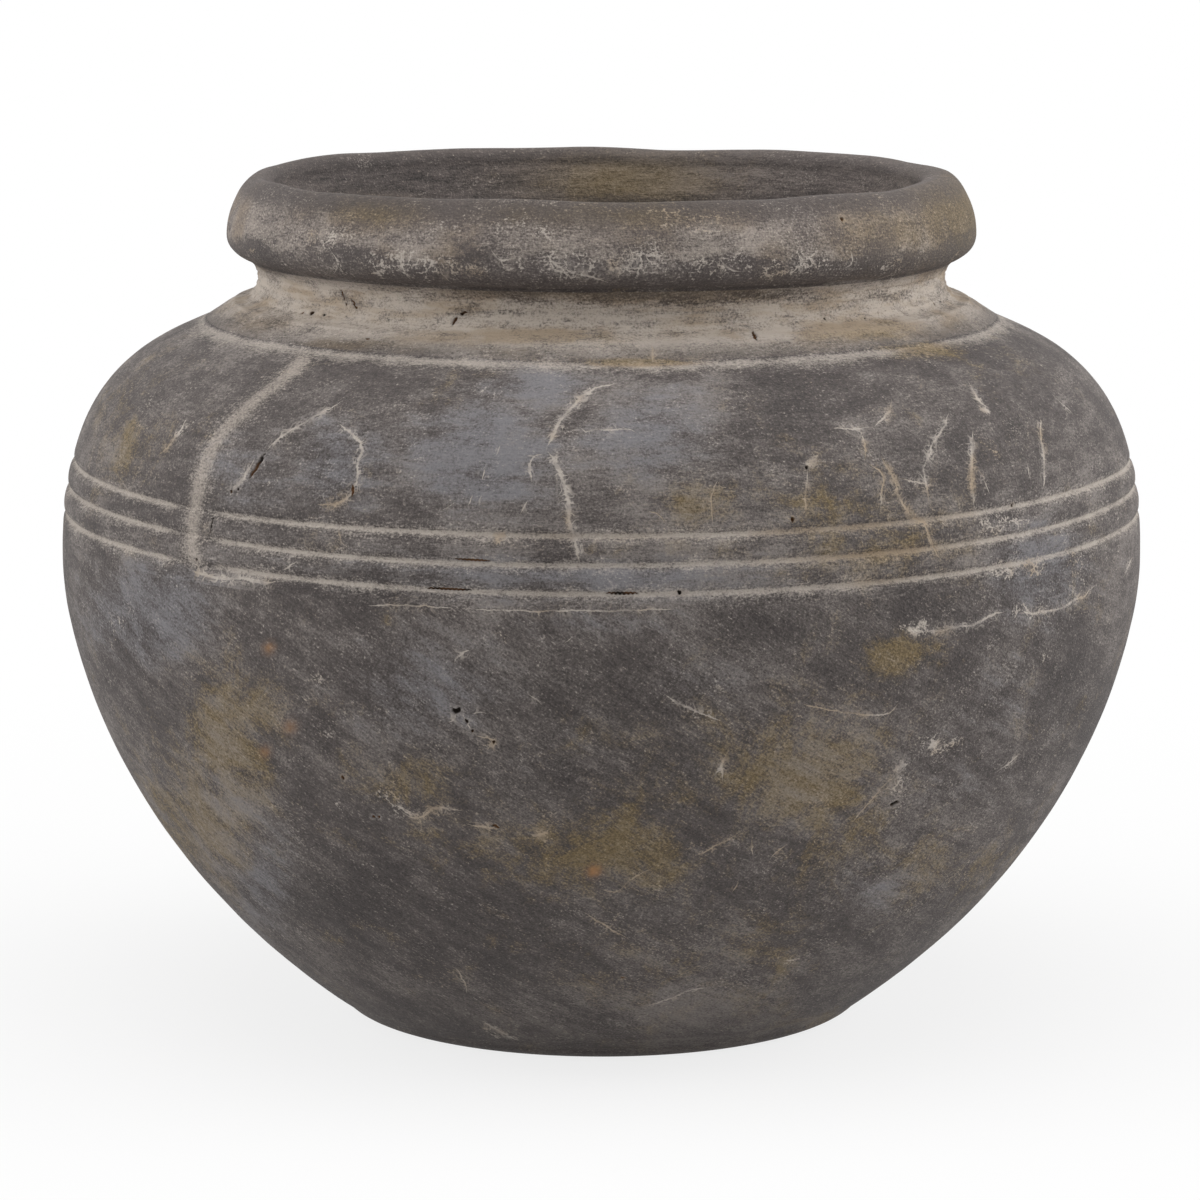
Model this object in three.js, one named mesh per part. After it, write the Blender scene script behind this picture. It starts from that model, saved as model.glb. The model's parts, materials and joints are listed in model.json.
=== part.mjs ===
import * as THREE from 'three';

// Wide-mouthed clay jar, built by hand from luted sections: a flat base, a lower bowl,
// an upper body pressed in two halves, a neck ring and a rolled rim.
// Millimetres, +Z up, standing on z = 0 with its axis on Z. The front faces -Y.

// Lower wall, from the foot to the widest ring. The heel is cut back under the wall.
const FOOT_RADIUS = 86;
const HEEL_SPREAD = 4;
const HEEL_HEIGHT = 5;
const FOOT_FLARE_REACH = 107.5;
const FOOT_FLARE_DEG = 33;
const BELLY_RADIUS = 200;
const BELLY_HEIGHT = 172;
const BELLY_DROP_REACH = 29;

// Shoulder, from the widest ring to the foot of the collar
const BELLY_RISE_REACH = 62;
const SHOULDER_HEIGHT = 87;
const SHOULDER_REACH = 30;
const SHOULDER_DEG = 21.5;
const COLLAR_FOOT_RADIUS = 148;

// Collar and hollow neck
const COLLAR_TOP_RADIUS = 141;
const COLLAR_HEIGHT = 4.5;
const THROAT_RISE = 12;
const THROAT_RADIUS = 126.7;
const COVE_RADIUS = 8.7;

// Rolled rim
const RIM_RADIUS = 138;
const RIM_BULGE_RISE = 16;
const RIM_FACE_TOP_RADIUS = 133;
const RIM_FACE_HEIGHT = 16.5;
const RIM_CROWN_HEIGHT = 5;
const CREST_RADIUS = 126;
const LIP_RADIUS = 119.5;
const LIP_DROP = 6;

// Wall thicknesses
const WALL = 12;
const NECK_WALL = 13;
const FLOOR_THICKNESS = 17;

// Luted lap joints: thickness of the slip and height of the lap
const SLIP = 1.5;
const LAP = 6;
const BASE_JOINT_HEIGHT = 9;
const BASE_TONGUE_RADIUS = 86;
const BELLY_JOINT_RISE = 10.5;
const COLLAR_SPIGOT_RADIUS = 131;
const RIM_JOINT_RISE = 6.5;

// Upright seams between the two halves of the upper body
const SEAM_WIDTH = 8;
const SEAM_AZIMUTH_DEG = 221.4;

// Grooves scored round the shoulder
const GROOVE_COUNT = 3;
const GROOVE_RISE = 19;
const GROOVE_PITCH = 9;
const GROOVE_WIDTH = 2.6;
const GROOVE_DEPTH = 1.2;

// Facets
const HALF_TURN_STEPS = 20;
const LOWER_WALL_STEPS = 9;
const SHOULDER_STEPS = 6;
const INNER_WALL_STEPS = 8;
const COVE_STEPS = 6;
const RIM_STEPS = 4;

const degrees = THREE.MathUtils.degToRad;
const point = (radius, height) => new THREE.Vector2(radius, height);

// Heights that follow from the driving dimensions
const collarFoot = BELLY_HEIGHT + SHOULDER_HEIGHT;
const collarTop = collarFoot + COLLAR_HEIGHT;
const throatHeight = collarTop + THROAT_RISE;
const rimBulge = throatHeight + RIM_BULGE_RISE;
const rimFaceTop = rimBulge + RIM_FACE_HEIGHT;
const crest = rimFaceTop + RIM_CROWN_HEIGHT;
const bellyJoint = BELLY_HEIGHT + BELLY_JOINT_RISE;
const rimJoint = throatHeight + RIM_JOINT_RISE;
const neckBore = THROAT_RADIUS - NECK_WALL;
const wallFoot = FOOT_RADIUS + HEEL_SPREAD;

// Outer contour: radius along x, height along y
const lowerWall = new THREE.CubicBezierCurve(
  point(wallFoot, 0),
  point(
    wallFoot + FOOT_FLARE_REACH * Math.cos(degrees(FOOT_FLARE_DEG)),
    FOOT_FLARE_REACH * Math.sin(degrees(FOOT_FLARE_DEG)),
  ),
  point(BELLY_RADIUS, BELLY_HEIGHT - BELLY_DROP_REACH),
  point(BELLY_RADIUS, BELLY_HEIGHT),
);

const shoulderWall = new THREE.CubicBezierCurve(
  point(BELLY_RADIUS, BELLY_HEIGHT),
  point(BELLY_RADIUS, BELLY_HEIGHT + BELLY_RISE_REACH),
  point(
    COLLAR_FOOT_RADIUS + SHOULDER_REACH * Math.cos(degrees(SHOULDER_DEG)),
    collarFoot - SHOULDER_REACH * Math.sin(degrees(SHOULDER_DEG)),
  ),
  point(COLLAR_FOOT_RADIUS, collarFoot),
);

const outerFace = (curve) => (t) => curve.getPoint(t);

// The inner face lies one wall thickness inside the outer one
const innerFace = (curve) => (t) => {
  const tangent = curve.getTangent(t);
  return curve.getPoint(t).add(point(-tangent.y, tangent.x).multiplyScalar(WALL));
};

// Where a rising face reaches a height
function paramAt(face, height) {
  let low = 0;
  let high = 1;
  for (let i = 0; i < 50; i += 1) {
    const middle = (low + high) / 2;
    if (face(middle).y < height) low = middle;
    else high = middle;
  }
  return (low + high) / 2;
}

const radiusAt = (face, height) => face(paramAt(face, height)).x;

// Points on a face from one parameter to another, both ends included
function sample(face, from, to, steps) {
  const points = [];
  for (let i = 0; i <= steps; i += 1) points.push(face(from + ((to - from) * i) / steps));
  return points;
}

const lowerOuter = outerFace(lowerWall);
const lowerInner = innerFace(lowerWall);
const shoulderOuter = outerFace(shoulderWall);
const shoulderInner = innerFace(shoulderWall);

// The neck is a cove whose angle runs from straight down to nearly straight up
const coveAt = (angle) => point(
  THROAT_RADIUS + COVE_RADIUS * (1 - Math.cos(angle)),
  throatHeight + COVE_RADIUS * Math.sin(angle),
);
const coveAngleAt = (height) => Math.asin((height - throatHeight) / COVE_RADIUS);

// Radii of the laps, halfway through each wall
const bellyTongue = radiusAt(shoulderOuter, bellyJoint) - WALL / 2;
const rimTongue = THROAT_RADIUS - NECK_WALL / 2;
const spigot = COLLAR_SPIGOT_RADIUS - SLIP;

// Angles round the jar, with a station at each edge of the two upright seams
const seamHalfAngle = SEAM_WIDTH / 2 / BELLY_RADIUS;
const leftSeam = degrees(SEAM_AZIMUTH_DEG);
const rightSeam = leftSeam + Math.PI;

function anglesBetween(from, to, steps) {
  const angles = [];
  for (let i = 0; i <= steps; i += 1) angles.push(from + ((to - from) * i) / steps);
  return angles;
}

const frontAngles = anglesBetween(leftSeam + seamHalfAngle, rightSeam - seamHalfAngle, HALF_TURN_STEPS);
const backAngles = frontAngles.map((angle) => angle + Math.PI);
const ringAngles = [...frontAngles, ...backAngles];
const leftSeamAngles = [leftSeam - seamHalfAngle, leftSeam + seamHalfAngle];
const rightSeamAngles = leftSeamAngles.map((angle) => angle + Math.PI);

// Turns a section round the axis. The section runs up the outside and down the inside.
// A full turn closes on itself, and a part turn gets a flat face at each end.
function turn(section, angles, fullTurn) {
  const positions = [];
  const rows = section.map((corner) => {
    const onAxis = corner.x === 0;
    const stations = onAxis ? angles.slice(0, 1) : angles;
    const first = positions.length / 3;
    stations.forEach((angle) => {
      positions.push(corner.x * Math.cos(angle), corner.x * Math.sin(angle), corner.y);
    });
    return (station) => (onAxis ? first : first + (station % angles.length));
  });

  const triangles = [];
  const addTriangle = (a, b, c) => {
    if (a !== b && b !== c && c !== a) triangles.push(a, b, c);
  };
  const strips = fullTurn ? angles.length : angles.length - 1;
  rows.forEach((row, i) => {
    const next = rows[(i + 1) % rows.length];
    for (let j = 0; j < strips; j += 1) {
      addTriangle(row(j), row(j + 1), next(j + 1));
      addTriangle(row(j), next(j + 1), next(j));
    }
  });

  if (!fullTurn) {
    const last = angles.length - 1;
    THREE.ShapeUtils.triangulateShape(section, []).forEach(([a, b, c]) => {
      addTriangle(rows[a](0), rows[b](0), rows[c](0));
      addTriangle(rows[a](last), rows[c](last), rows[b](last));
    });
  }

  const geometry = new THREE.BufferGeometry();
  geometry.setAttribute('position', new THREE.Float32BufferAttribute(positions, 3));
  geometry.setIndex(triangles);
  geometry.computeVertexNormals();
  return geometry;
}

const clay = (color) => new THREE.MeshStandardMaterial({ color, roughness: 0.9, metalness: 0 });

const jar = new THREE.Group();

function addPiece(name, geometry, material) {
  const piece = new THREE.Mesh(geometry, material);
  piece.name = name;
  jar.add(piece);
}

// Base: a flat disc whose raised middle stands inside the bowl as a tongue
function baseSection() {
  return [
    point(0, 0),
    point(FOOT_RADIUS, 0),
    point(radiusAt(lowerOuter, HEEL_HEIGHT), HEEL_HEIGHT),
    point(radiusAt(lowerOuter, BASE_JOINT_HEIGHT), BASE_JOINT_HEIGHT),
    point(BASE_TONGUE_RADIUS, BASE_JOINT_HEIGHT),
    point(BASE_TONGUE_RADIUS, FLOOR_THICKNESS),
    point(0, FLOOR_THICKNESS),
  ];
}

function baseSlipSection() {
  const top = BASE_JOINT_HEIGHT + SLIP;
  return [
    point(radiusAt(lowerOuter, BASE_JOINT_HEIGHT), BASE_JOINT_HEIGHT),
    point(radiusAt(lowerOuter, top), top),
    point(BASE_TONGUE_RADIUS + SLIP, top),
    point(BASE_TONGUE_RADIUS + SLIP, FLOOR_THICKNESS),
    point(BASE_TONGUE_RADIUS, FLOOR_THICKNESS),
    point(BASE_TONGUE_RADIUS, BASE_JOINT_HEIGHT),
  ];
}

// Lower bowl: sits over the base and carries a tongue round its top edge
function bowlSection() {
  const bottom = BASE_JOINT_HEIGHT + SLIP;
  const tongueTop = bellyJoint + LAP;
  const innerBottom = paramAt(lowerInner, FLOOR_THICKNESS);
  return [
    ...sample(lowerOuter, paramAt(lowerOuter, bottom), 1, LOWER_WALL_STEPS),
    point(radiusAt(shoulderOuter, bellyJoint), bellyJoint),
    point(bellyTongue, bellyJoint),
    point(bellyTongue, tongueTop),
    point(radiusAt(shoulderInner, tongueTop), tongueTop),
    ...sample(lowerInner, 1, innerBottom, INNER_WALL_STEPS),
    point(BASE_TONGUE_RADIUS + SLIP, FLOOR_THICKNESS),
    point(BASE_TONGUE_RADIUS + SLIP, bottom),
  ];
}

function bellySlipSection() {
  const shelf = bellyJoint + SLIP;
  const tongueTop = bellyJoint + LAP;
  const lapTop = tongueTop + SLIP;
  return [
    point(radiusAt(shoulderOuter, bellyJoint), bellyJoint),
    point(radiusAt(shoulderOuter, shelf), shelf),
    point(bellyTongue + SLIP, shelf),
    point(bellyTongue + SLIP, lapTop),
    point(radiusAt(shoulderInner, lapTop), lapTop),
    point(radiusAt(shoulderInner, tongueTop), tongueTop),
    point(bellyTongue, tongueTop),
    point(bellyTongue, bellyJoint),
  ];
}

// Scored grooves, each a narrow V cut square to the wall
function groovePoints() {
  const points = [];
  for (let i = 0; i < GROOVE_COUNT; i += 1) {
    const height = BELLY_HEIGHT + GROOVE_RISE + GROOVE_PITCH * i;
    const low = height - GROOVE_WIDTH / 2;
    const high = height + GROOVE_WIDTH / 2;
    points.push(
      point(radiusAt(shoulderOuter, low), low),
      point(radiusAt(shoulderOuter, height) - GROOVE_DEPTH, height),
      point(radiusAt(shoulderOuter, high), high),
    );
  }
  return points;
}

// Upper body: stands over the bowl's tongue and ends in a stepped seat for the collar
function shoulderSection(grooves) {
  const shelf = bellyJoint + SLIP;
  const lapTop = bellyJoint + LAP + SLIP;
  const plainFrom = grooves.length ? grooves[grooves.length - 1].y : shelf;
  const plainWall = sample(shoulderOuter, paramAt(shoulderOuter, plainFrom), 1, SHOULDER_STEPS);
  const innerWall = sample(shoulderInner, 1, paramAt(shoulderInner, lapTop), INNER_WALL_STEPS);
  return [
    ...(grooves.length ? [point(radiusAt(shoulderOuter, shelf), shelf)] : []),
    ...grooves.slice(0, -1),
    ...plainWall,
    point(COLLAR_SPIGOT_RADIUS, collarFoot),
    point(COLLAR_SPIGOT_RADIUS, collarFoot - LAP),
    point(neckBore, collarFoot - LAP),
    point(neckBore, innerWall[0].y),
    ...innerWall,
    point(bellyTongue + SLIP, lapTop),
    point(bellyTongue + SLIP, shelf),
  ];
}

// Where the sloping face of the collar reaches a height
const collarFaceAt = (height) => point(
  THREE.MathUtils.mapLinear(height, collarFoot, collarTop, COLLAR_FOOT_RADIUS, COLLAR_TOP_RADIUS),
  height,
);

function collarSlipSection() {
  return [
    collarFaceAt(collarFoot),
    collarFaceAt(collarFoot + SLIP),
    point(spigot, collarFoot + SLIP),
    point(spigot, collarFoot - LAP + SLIP),
    point(neckBore, collarFoot - LAP + SLIP),
    point(neckBore, collarFoot - LAP),
    point(COLLAR_SPIGOT_RADIUS, collarFoot - LAP),
    point(COLLAR_SPIGOT_RADIUS, collarFoot),
  ];
}

// Neck: a collar with a spigot below, a hollow throat, and a tongue for the rim
function neckSection() {
  const tongueTop = rimJoint + LAP;
  const spigotFoot = collarFoot - LAP + SLIP;
  return [
    collarFaceAt(collarFoot + SLIP),
    collarFaceAt(collarTop),
    ...sample(coveAt, -Math.PI / 2, coveAngleAt(rimJoint), COVE_STEPS),
    point(rimTongue, rimJoint),
    point(rimTongue, tongueTop),
    point(neckBore, tongueTop),
    point(neckBore, spigotFoot),
    point(spigot, spigotFoot),
    point(spigot, collarFoot + SLIP),
  ];
}

function rimSlipSection() {
  const shelf = rimJoint + SLIP;
  const tongueTop = rimJoint + LAP;
  return [
    coveAt(coveAngleAt(rimJoint)),
    coveAt(coveAngleAt(shelf)),
    point(rimTongue + SLIP, shelf),
    point(rimTongue + SLIP, tongueTop + SLIP),
    point(neckBore, tongueTop + SLIP),
    point(neckBore, tongueTop),
    point(rimTongue, tongueTop),
    point(rimTongue, rimJoint),
  ];
}

// Rim: the cove runs on into a rounded underside, a face that leans in, and a rolled lip
function rimSection() {
  const shelf = rimJoint + SLIP;
  const shelfAngle = coveAngleAt(shelf);
  const underside = coveAt(shelfAngle);
  const undersideRise = (RIM_RADIUS - underside.x) / Math.tan(shelfAngle);
  const rounds = [
    [underside, point(RIM_RADIUS, shelf + undersideRise), point(RIM_RADIUS, rimBulge)],
    [
      point(RIM_RADIUS, rimBulge),
      point(RIM_RADIUS, rimBulge + RIM_FACE_HEIGHT / 2),
      point(RIM_FACE_TOP_RADIUS, rimFaceTop),
    ],
    [
      point(RIM_FACE_TOP_RADIUS, rimFaceTop),
      point((RIM_FACE_TOP_RADIUS + CREST_RADIUS) / 2, crest),
      point(CREST_RADIUS, crest),
    ],
    [point(CREST_RADIUS, crest), point(LIP_RADIUS, crest), point(LIP_RADIUS, crest - LIP_DROP)],
  ];
  const outline = rounds.flatMap(([from, control, to]) => {
    const round = new THREE.QuadraticBezierCurve(from, control, to);
    return sample(outerFace(round), 0, 1 - 1 / RIM_STEPS, RIM_STEPS - 1);
  });
  const lapTop = rimJoint + LAP + SLIP;
  return [
    ...outline,
    point(LIP_RADIUS, crest - LIP_DROP),
    point(neckBore, lapTop),
    point(rimTongue + SLIP, lapTop),
    point(rimTongue + SLIP, shelf),
  ];
}

const BODY_CLAY = 0x6b645f;
const BASE_CLAY = 0x58504a;
const SHOULDER_CLAY = 0x746e6b;
const NECK_CLAY = 0x9a8d80;
const RIM_CLAY = 0x746a63;
const PALE_SLIP = 0xb3a592;

const groovedShoulder = shoulderSection(groovePoints());
const plainShoulder = shoulderSection([]);

addPiece('base_slab', turn(baseSection(), ringAngles, true), clay(BASE_CLAY));
addPiece('base_slip', turn(baseSlipSection(), ringAngles, true), clay(PALE_SLIP));
addPiece('lower_bowl', turn(bowlSection(), ringAngles, true), clay(BODY_CLAY));
addPiece('belly_slip', turn(bellySlipSection(), ringAngles, true), clay(PALE_SLIP));
addPiece('shoulder_half_front', turn(groovedShoulder, frontAngles, false), clay(SHOULDER_CLAY));
addPiece('shoulder_half_back', turn(groovedShoulder, backAngles, false), clay(SHOULDER_CLAY));
addPiece('seam_strip_left', turn(plainShoulder, leftSeamAngles, false), clay(PALE_SLIP));
addPiece('seam_strip_right', turn(plainShoulder, rightSeamAngles, false), clay(PALE_SLIP));
addPiece('collar_slip', turn(collarSlipSection(), ringAngles, true), clay(PALE_SLIP));
addPiece('neck_ring', turn(neckSection(), ringAngles, true), clay(NECK_CLAY));
addPiece('rim_slip', turn(rimSlipSection(), ringAngles, true), clay(PALE_SLIP));
addPiece('rim_coil', turn(rimSection(), ringAngles, true), clay(RIM_CLAY));

export default jar;
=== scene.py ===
# %% [markdown]
# # A hand-built clay jar
#
# This lesson dresses a squat, wide-mouthed jar of unglazed clay. A potter made it in sections (base, bowl,
# shoulder, neck and rim), stuck them together with slip, scored three grooves round the shoulder and fired
# it in smoke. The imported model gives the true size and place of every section, and the skin made here
# follows it.

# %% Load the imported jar
import json
import math

import bpy
import numpy as np
from mathutils import Euler, Matrix, Vector, kdtree
from mathutils.bvhtree import BVHTree


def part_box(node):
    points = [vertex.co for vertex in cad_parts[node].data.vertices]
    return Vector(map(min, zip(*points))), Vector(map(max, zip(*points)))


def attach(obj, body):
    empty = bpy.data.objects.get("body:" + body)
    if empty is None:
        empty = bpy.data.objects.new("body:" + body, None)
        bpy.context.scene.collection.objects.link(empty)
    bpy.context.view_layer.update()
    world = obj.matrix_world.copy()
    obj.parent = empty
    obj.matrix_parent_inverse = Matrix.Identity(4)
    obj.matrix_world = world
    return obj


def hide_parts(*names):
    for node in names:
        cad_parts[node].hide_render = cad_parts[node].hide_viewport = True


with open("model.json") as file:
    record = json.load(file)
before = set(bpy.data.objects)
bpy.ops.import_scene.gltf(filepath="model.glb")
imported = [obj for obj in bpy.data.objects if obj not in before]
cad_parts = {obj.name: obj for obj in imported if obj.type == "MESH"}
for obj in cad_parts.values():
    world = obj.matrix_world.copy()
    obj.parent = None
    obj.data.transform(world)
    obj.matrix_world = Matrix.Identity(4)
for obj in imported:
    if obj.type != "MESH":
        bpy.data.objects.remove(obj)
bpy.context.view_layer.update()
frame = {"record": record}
MM = 0.001

# %% [markdown]
# ## Camera
#
# The jar is a turned form, so its outline and the ellipses of its grooves fix where the camera stood: almost
# two metres away, a little above the belly, with a long lens. It comes first, because the marks seen in the
# photograph are placed on the jar by sending rays from it.

# %% Camera
PHOTO_SIZE = 1200
CAMERA_PLACE = (-0.0006, -1.9274, 0.4693)
CAMERA_PITCH_DEG = 9.31
LENS_MM = 156.8
SENSOR_MM = 36.0

camera_turn = Euler((math.radians(90 - CAMERA_PITCH_DEG), 0, 0))
bpy.ops.object.select_all(action="DESELECT")
bpy.ops.object.camera_add(location=CAMERA_PLACE, rotation=camera_turn)
camera = bpy.context.object
camera.name = "photo_camera"
camera.data.lens = LENS_MM
camera.data.sensor_width = SENSOR_MM
bpy.context.scene.camera = camera
print("camera at", CAMERA_PLACE, "lens", LENS_MM)

# %% [markdown]
# ## Contour
#
# A potter checks a jar against a rib cut to its profile. The rib here is one line that starts under the base,
# runs up the outside, over the rim, down the inside and ends in the middle of the floor. It could be traced
# point by point, but a few curves on the same sizes as the solid model keep the two in step, and the heights
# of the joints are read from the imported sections.

# %% Contour sizes, in millimetres
FOOT_RADIUS = 86
HEEL_SPREAD = 4
HEEL_HEIGHT = 5
HEEL_ROUND = (3, 1.4)
FOOT_FLARE_REACH = 107.5
FOOT_FLARE_DEG = 33
BELLY_RADIUS = 200
BELLY_HEIGHT = 172
BELLY_DROP_REACH = 29
BELLY_RISE_REACH = 62
SHOULDER_REACH = 30
SHOULDER_DEG = 21.5
COLLAR_FOOT_RADIUS = 148
COLLAR_TOP_RADIUS = 141
COLLAR_HEIGHT = 4.5
COLLAR_ROUND = (2.5, 1.8)
THROAT_RISE = 12
THROAT_RADIUS = 126.7
COVE_RADIUS = 8.7
RIM_RADIUS = 138
RIM_BULGE_RISE = 16
RIM_FACE_TOP_RADIUS = 133
RIM_FACE_HEIGHT = 16.5
CREST_RADIUS = 126
LIP_RADIUS = 119.5
LIP_DROP = 6
WALL = 12
NECK_WALL = 13
TONGUE_RADIUS = 86


def bottom(node):
    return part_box(node)[0].z / MM


def top(node):
    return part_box(node)[1].z / MM


floor_level = top("base_slab")
collar_foot = top("shoulder_half_front")
collar_top = collar_foot + COLLAR_HEIGHT
throat = collar_top + THROAT_RISE
rim_joint = bottom("rim_coil")
rim_lap = top("rim_slip")
rim_bulge = throat + RIM_BULGE_RISE
rim_face_top = rim_bulge + RIM_FACE_HEIGHT
crest = top("rim_coil")
neck_bore = THROAT_RADIUS - NECK_WALL
slip_thickness = bottom("lower_bowl") - bottom("base_slip")
print("crest", round(crest, 1), "collar foot", round(collar_foot, 1), "slip", round(slip_thickness, 2))

# %% Contour line
FINE = 400


def curve(*corners):
    """Points of the Bezier curve that these corners steer."""
    share = np.linspace(0, 1, FINE)[:, None]
    points = [np.array(corner, float) + 0 * share for corner in corners]
    while len(points) > 1:
        points = [a * (1 - share) + b * share for a, b in zip(points, points[1:])]
    return points[0]


def walked(line):
    """How far along a line each of its places lies."""
    return np.concatenate([[0], np.cumsum(np.linalg.norm(np.diff(line, axis=0), axis=1))])


def inside_of(line):
    """The same line moved inwards by the wall's thickness."""
    along = np.gradient(line, axis=0)
    along /= np.linalg.norm(along, axis=1)[:, None]
    return line + WALL * np.stack([-along[:, 1], along[:, 0]], axis=1)


flare = math.radians(FOOT_FLARE_DEG)
dome = math.radians(SHOULDER_DEG)
wall_foot = FOOT_RADIUS + HEEL_SPREAD
lower_wall = curve(
    (wall_foot, 0),
    (wall_foot + FOOT_FLARE_REACH * math.cos(flare), FOOT_FLARE_REACH * math.sin(flare)),
    (BELLY_RADIUS, BELLY_HEIGHT - BELLY_DROP_REACH),
    (BELLY_RADIUS, BELLY_HEIGHT),
)
shoulder_wall = curve(
    (BELLY_RADIUS, BELLY_HEIGHT),
    (BELLY_RADIUS, BELLY_HEIGHT + BELLY_RISE_REACH),
    (COLLAR_FOOT_RADIUS + SHOULDER_REACH * math.cos(dome), collar_foot - SHOULDER_REACH * math.sin(dome)),
    (COLLAR_FOOT_RADIUS, collar_foot),
)
above_heel = lower_wall[lower_wall[:, 1] > HEEL_HEIGHT]
heel = curve((FOOT_RADIUS, 0), (above_heel[0, 0] - HEEL_ROUND[0], HEEL_ROUND[1]), above_heel[0])

cove_end = math.asin((rim_joint - throat) / COVE_RADIUS)
cove_turn = np.linspace(-math.pi / 2, cove_end, FINE)
cove_radius = THROAT_RADIUS + COVE_RADIUS * (1 - np.cos(cove_turn))
cove = np.stack([cove_radius, throat + COVE_RADIUS * np.sin(cove_turn)], axis=1)
collar_face = curve((COLLAR_FOOT_RADIUS, collar_foot), (COLLAR_TOP_RADIUS, collar_top))
collar_crown = curve(
    collar_face[-1], (COLLAR_TOP_RADIUS - COLLAR_ROUND[0], collar_top + COLLAR_ROUND[1]), cove[0]
)

under_rise = (RIM_RADIUS - cove[-1, 0]) / math.tan(cove_end)
rim_under = curve(cove[-1], (RIM_RADIUS, rim_joint + under_rise), (RIM_RADIUS, rim_bulge))
rim_face = curve(
    rim_under[-1], (RIM_RADIUS, rim_bulge + RIM_FACE_HEIGHT / 2), (RIM_FACE_TOP_RADIUS, rim_face_top)
)
rim_crown = curve(rim_face[-1], ((RIM_FACE_TOP_RADIUS + CREST_RADIUS) / 2, crest), (CREST_RADIUS, crest))
lip = curve(rim_crown[-1], (LIP_RADIUS, crest), (LIP_RADIUS, crest - LIP_DROP))

inner_shoulder = inside_of(shoulder_wall)[::-1]
inner_lower = inside_of(lower_wall)[::-1]
inner_lower = inner_lower[inner_lower[:, 1] > floor_level]
lip_underside = (neck_bore, inner_shoulder[0, 1])
outside_line = np.concatenate([
    curve((0, 0), (FOOT_RADIUS, 0)), heel, above_heel, shoulder_wall, collar_face, collar_crown, cove,
    rim_under, rim_face, rim_crown, lip,
])
inside_line = np.concatenate([
    curve(lip[-1], (neck_bore, rim_lap)), curve((neck_bore, rim_lap), lip_underside),
    curve(lip_underside, inner_shoulder[0]), inner_shoulder, inner_lower,
    curve((inner_lower[-1, 0], floor_level), (0, floor_level)),
])
contour = np.concatenate([outside_line, inside_line])
print("contour", len(contour), "points, widest", round(contour[:, 0].max(), 1), "mm")

# %% [markdown]
# ## Rows
#
# The line is cut where one section meets the next, outside and again inside, and each stretch gets rows at
# its own spacing: close together in the scored grooves, up the neck and round the rim, and further apart
# inside, where nobody looks closely. A modifier could thicken a single wall instead, but then the inside
# couldn't have its own shape.

# %% Rows of the skin
GROOVE_ZONE_TOP = 214


def outside_at(height):
    """Where the outside of the contour reaches a height."""
    return int(np.argmin(np.abs(outside_line[:, 1] - height)))


def inside_at(radius, height):
    """Where the inside of the contour passes closest to a point."""
    gap = np.hypot(inside_line[:, 0] - radius, inside_line[:, 1] - height)
    return len(outside_line) + int(np.argmin(gap))


def inside_level(height):
    """Where the inside of the contour reaches a height below the neck."""
    return len(outside_line) + int(np.argmin(np.abs(inside_line[:, 1] - height)))


underside_end = FINE - 1
stretches = [
    ("base_slab", underside_end, 14.0),
    ("base_slab", outside_at(bottom("base_slip")), 1.5),
    ("base_slip", outside_at(bottom("lower_bowl")), 1.0),
    ("lower_bowl", outside_at(bottom("belly_slip")), 2.1),
    ("belly_slip", outside_at(bottom("shoulder_half_front")), 0.5),
    ("shoulder", outside_at(GROOVE_ZONE_TOP), 0.5),
    ("shoulder", outside_at(collar_foot), 1.3),
    ("collar_slip", outside_at(collar_foot + slip_thickness), 0.6),
    ("neck_ring", outside_at(bottom("rim_slip")), 0.7),
    ("rim_slip", outside_at(rim_joint), 0.6),
    ("rim_coil", inside_at(neck_bore, rim_lap), 1.0),
    ("rim_slip", inside_at(neck_bore, rim_lap - slip_thickness), 1.5),
    ("neck_ring", inside_at(neck_bore, bottom("collar_slip") + slip_thickness), 3.0),
    ("collar_slip", inside_at(neck_bore, bottom("collar_slip")), 1.5),
    ("shoulder", inside_level(top("belly_slip")), 4.0),
    ("belly_slip", inside_level(top("belly_slip") - slip_thickness), 1.5),
    ("lower_bowl", inside_at(TONGUE_RADIUS + slip_thickness, floor_level), 5.0),
    ("base_slip", inside_at(TONGUE_RADIUS, floor_level), 1.5),
    ("base_slab", len(contour) - 1, 9.0),
]

rows = [contour[0]]
row_section = []
begin = 0
for section, end, spacing in stretches:
    line = contour[begin:end + 1]
    length = walked(line)
    count = max(1, round(length[-1] / spacing))
    for place in np.linspace(0, length[-1], count + 1)[1:]:
        rows.append((np.interp(place, length, line[:, 0]), np.interp(place, length, line[:, 1])))
        row_section.append(section)
    begin = end
rows = np.array(rows)
changes = [i for i in range(1, len(row_section)) if row_section[i] != row_section[i - 1]]
joints = list(zip(changes, changes[::-1]))[:len(changes) // 2]
crest_row = int(np.argmax(rows[:, 1]))
print(len(rows), "rows; joints between rows", joints)

# %% [markdown]
# ## Throw the skin
#
# Clay comes up round an axis, so the skin is one line turned all the way round. A plane merged to a single
# vertex is extruded along the rows, in the plane of the left upright seam. Spin would turn that line too, but
# it slows down with every step, so the Screw modifier does it at once. Then the vertices on the axis are
# merged and the normals are made to face out of the clay.

# %% Draw the line and turn it
SEAM_AZIMUTH_DEG = 221.4
COLUMNS = 576
MERGE_GAP = 0.01 * MM

seam = math.radians(SEAM_AZIMUTH_DEG)


def on_seam(row):
    return Vector((row[0] * math.cos(seam), row[0] * math.sin(seam), row[1])) * MM


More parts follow.
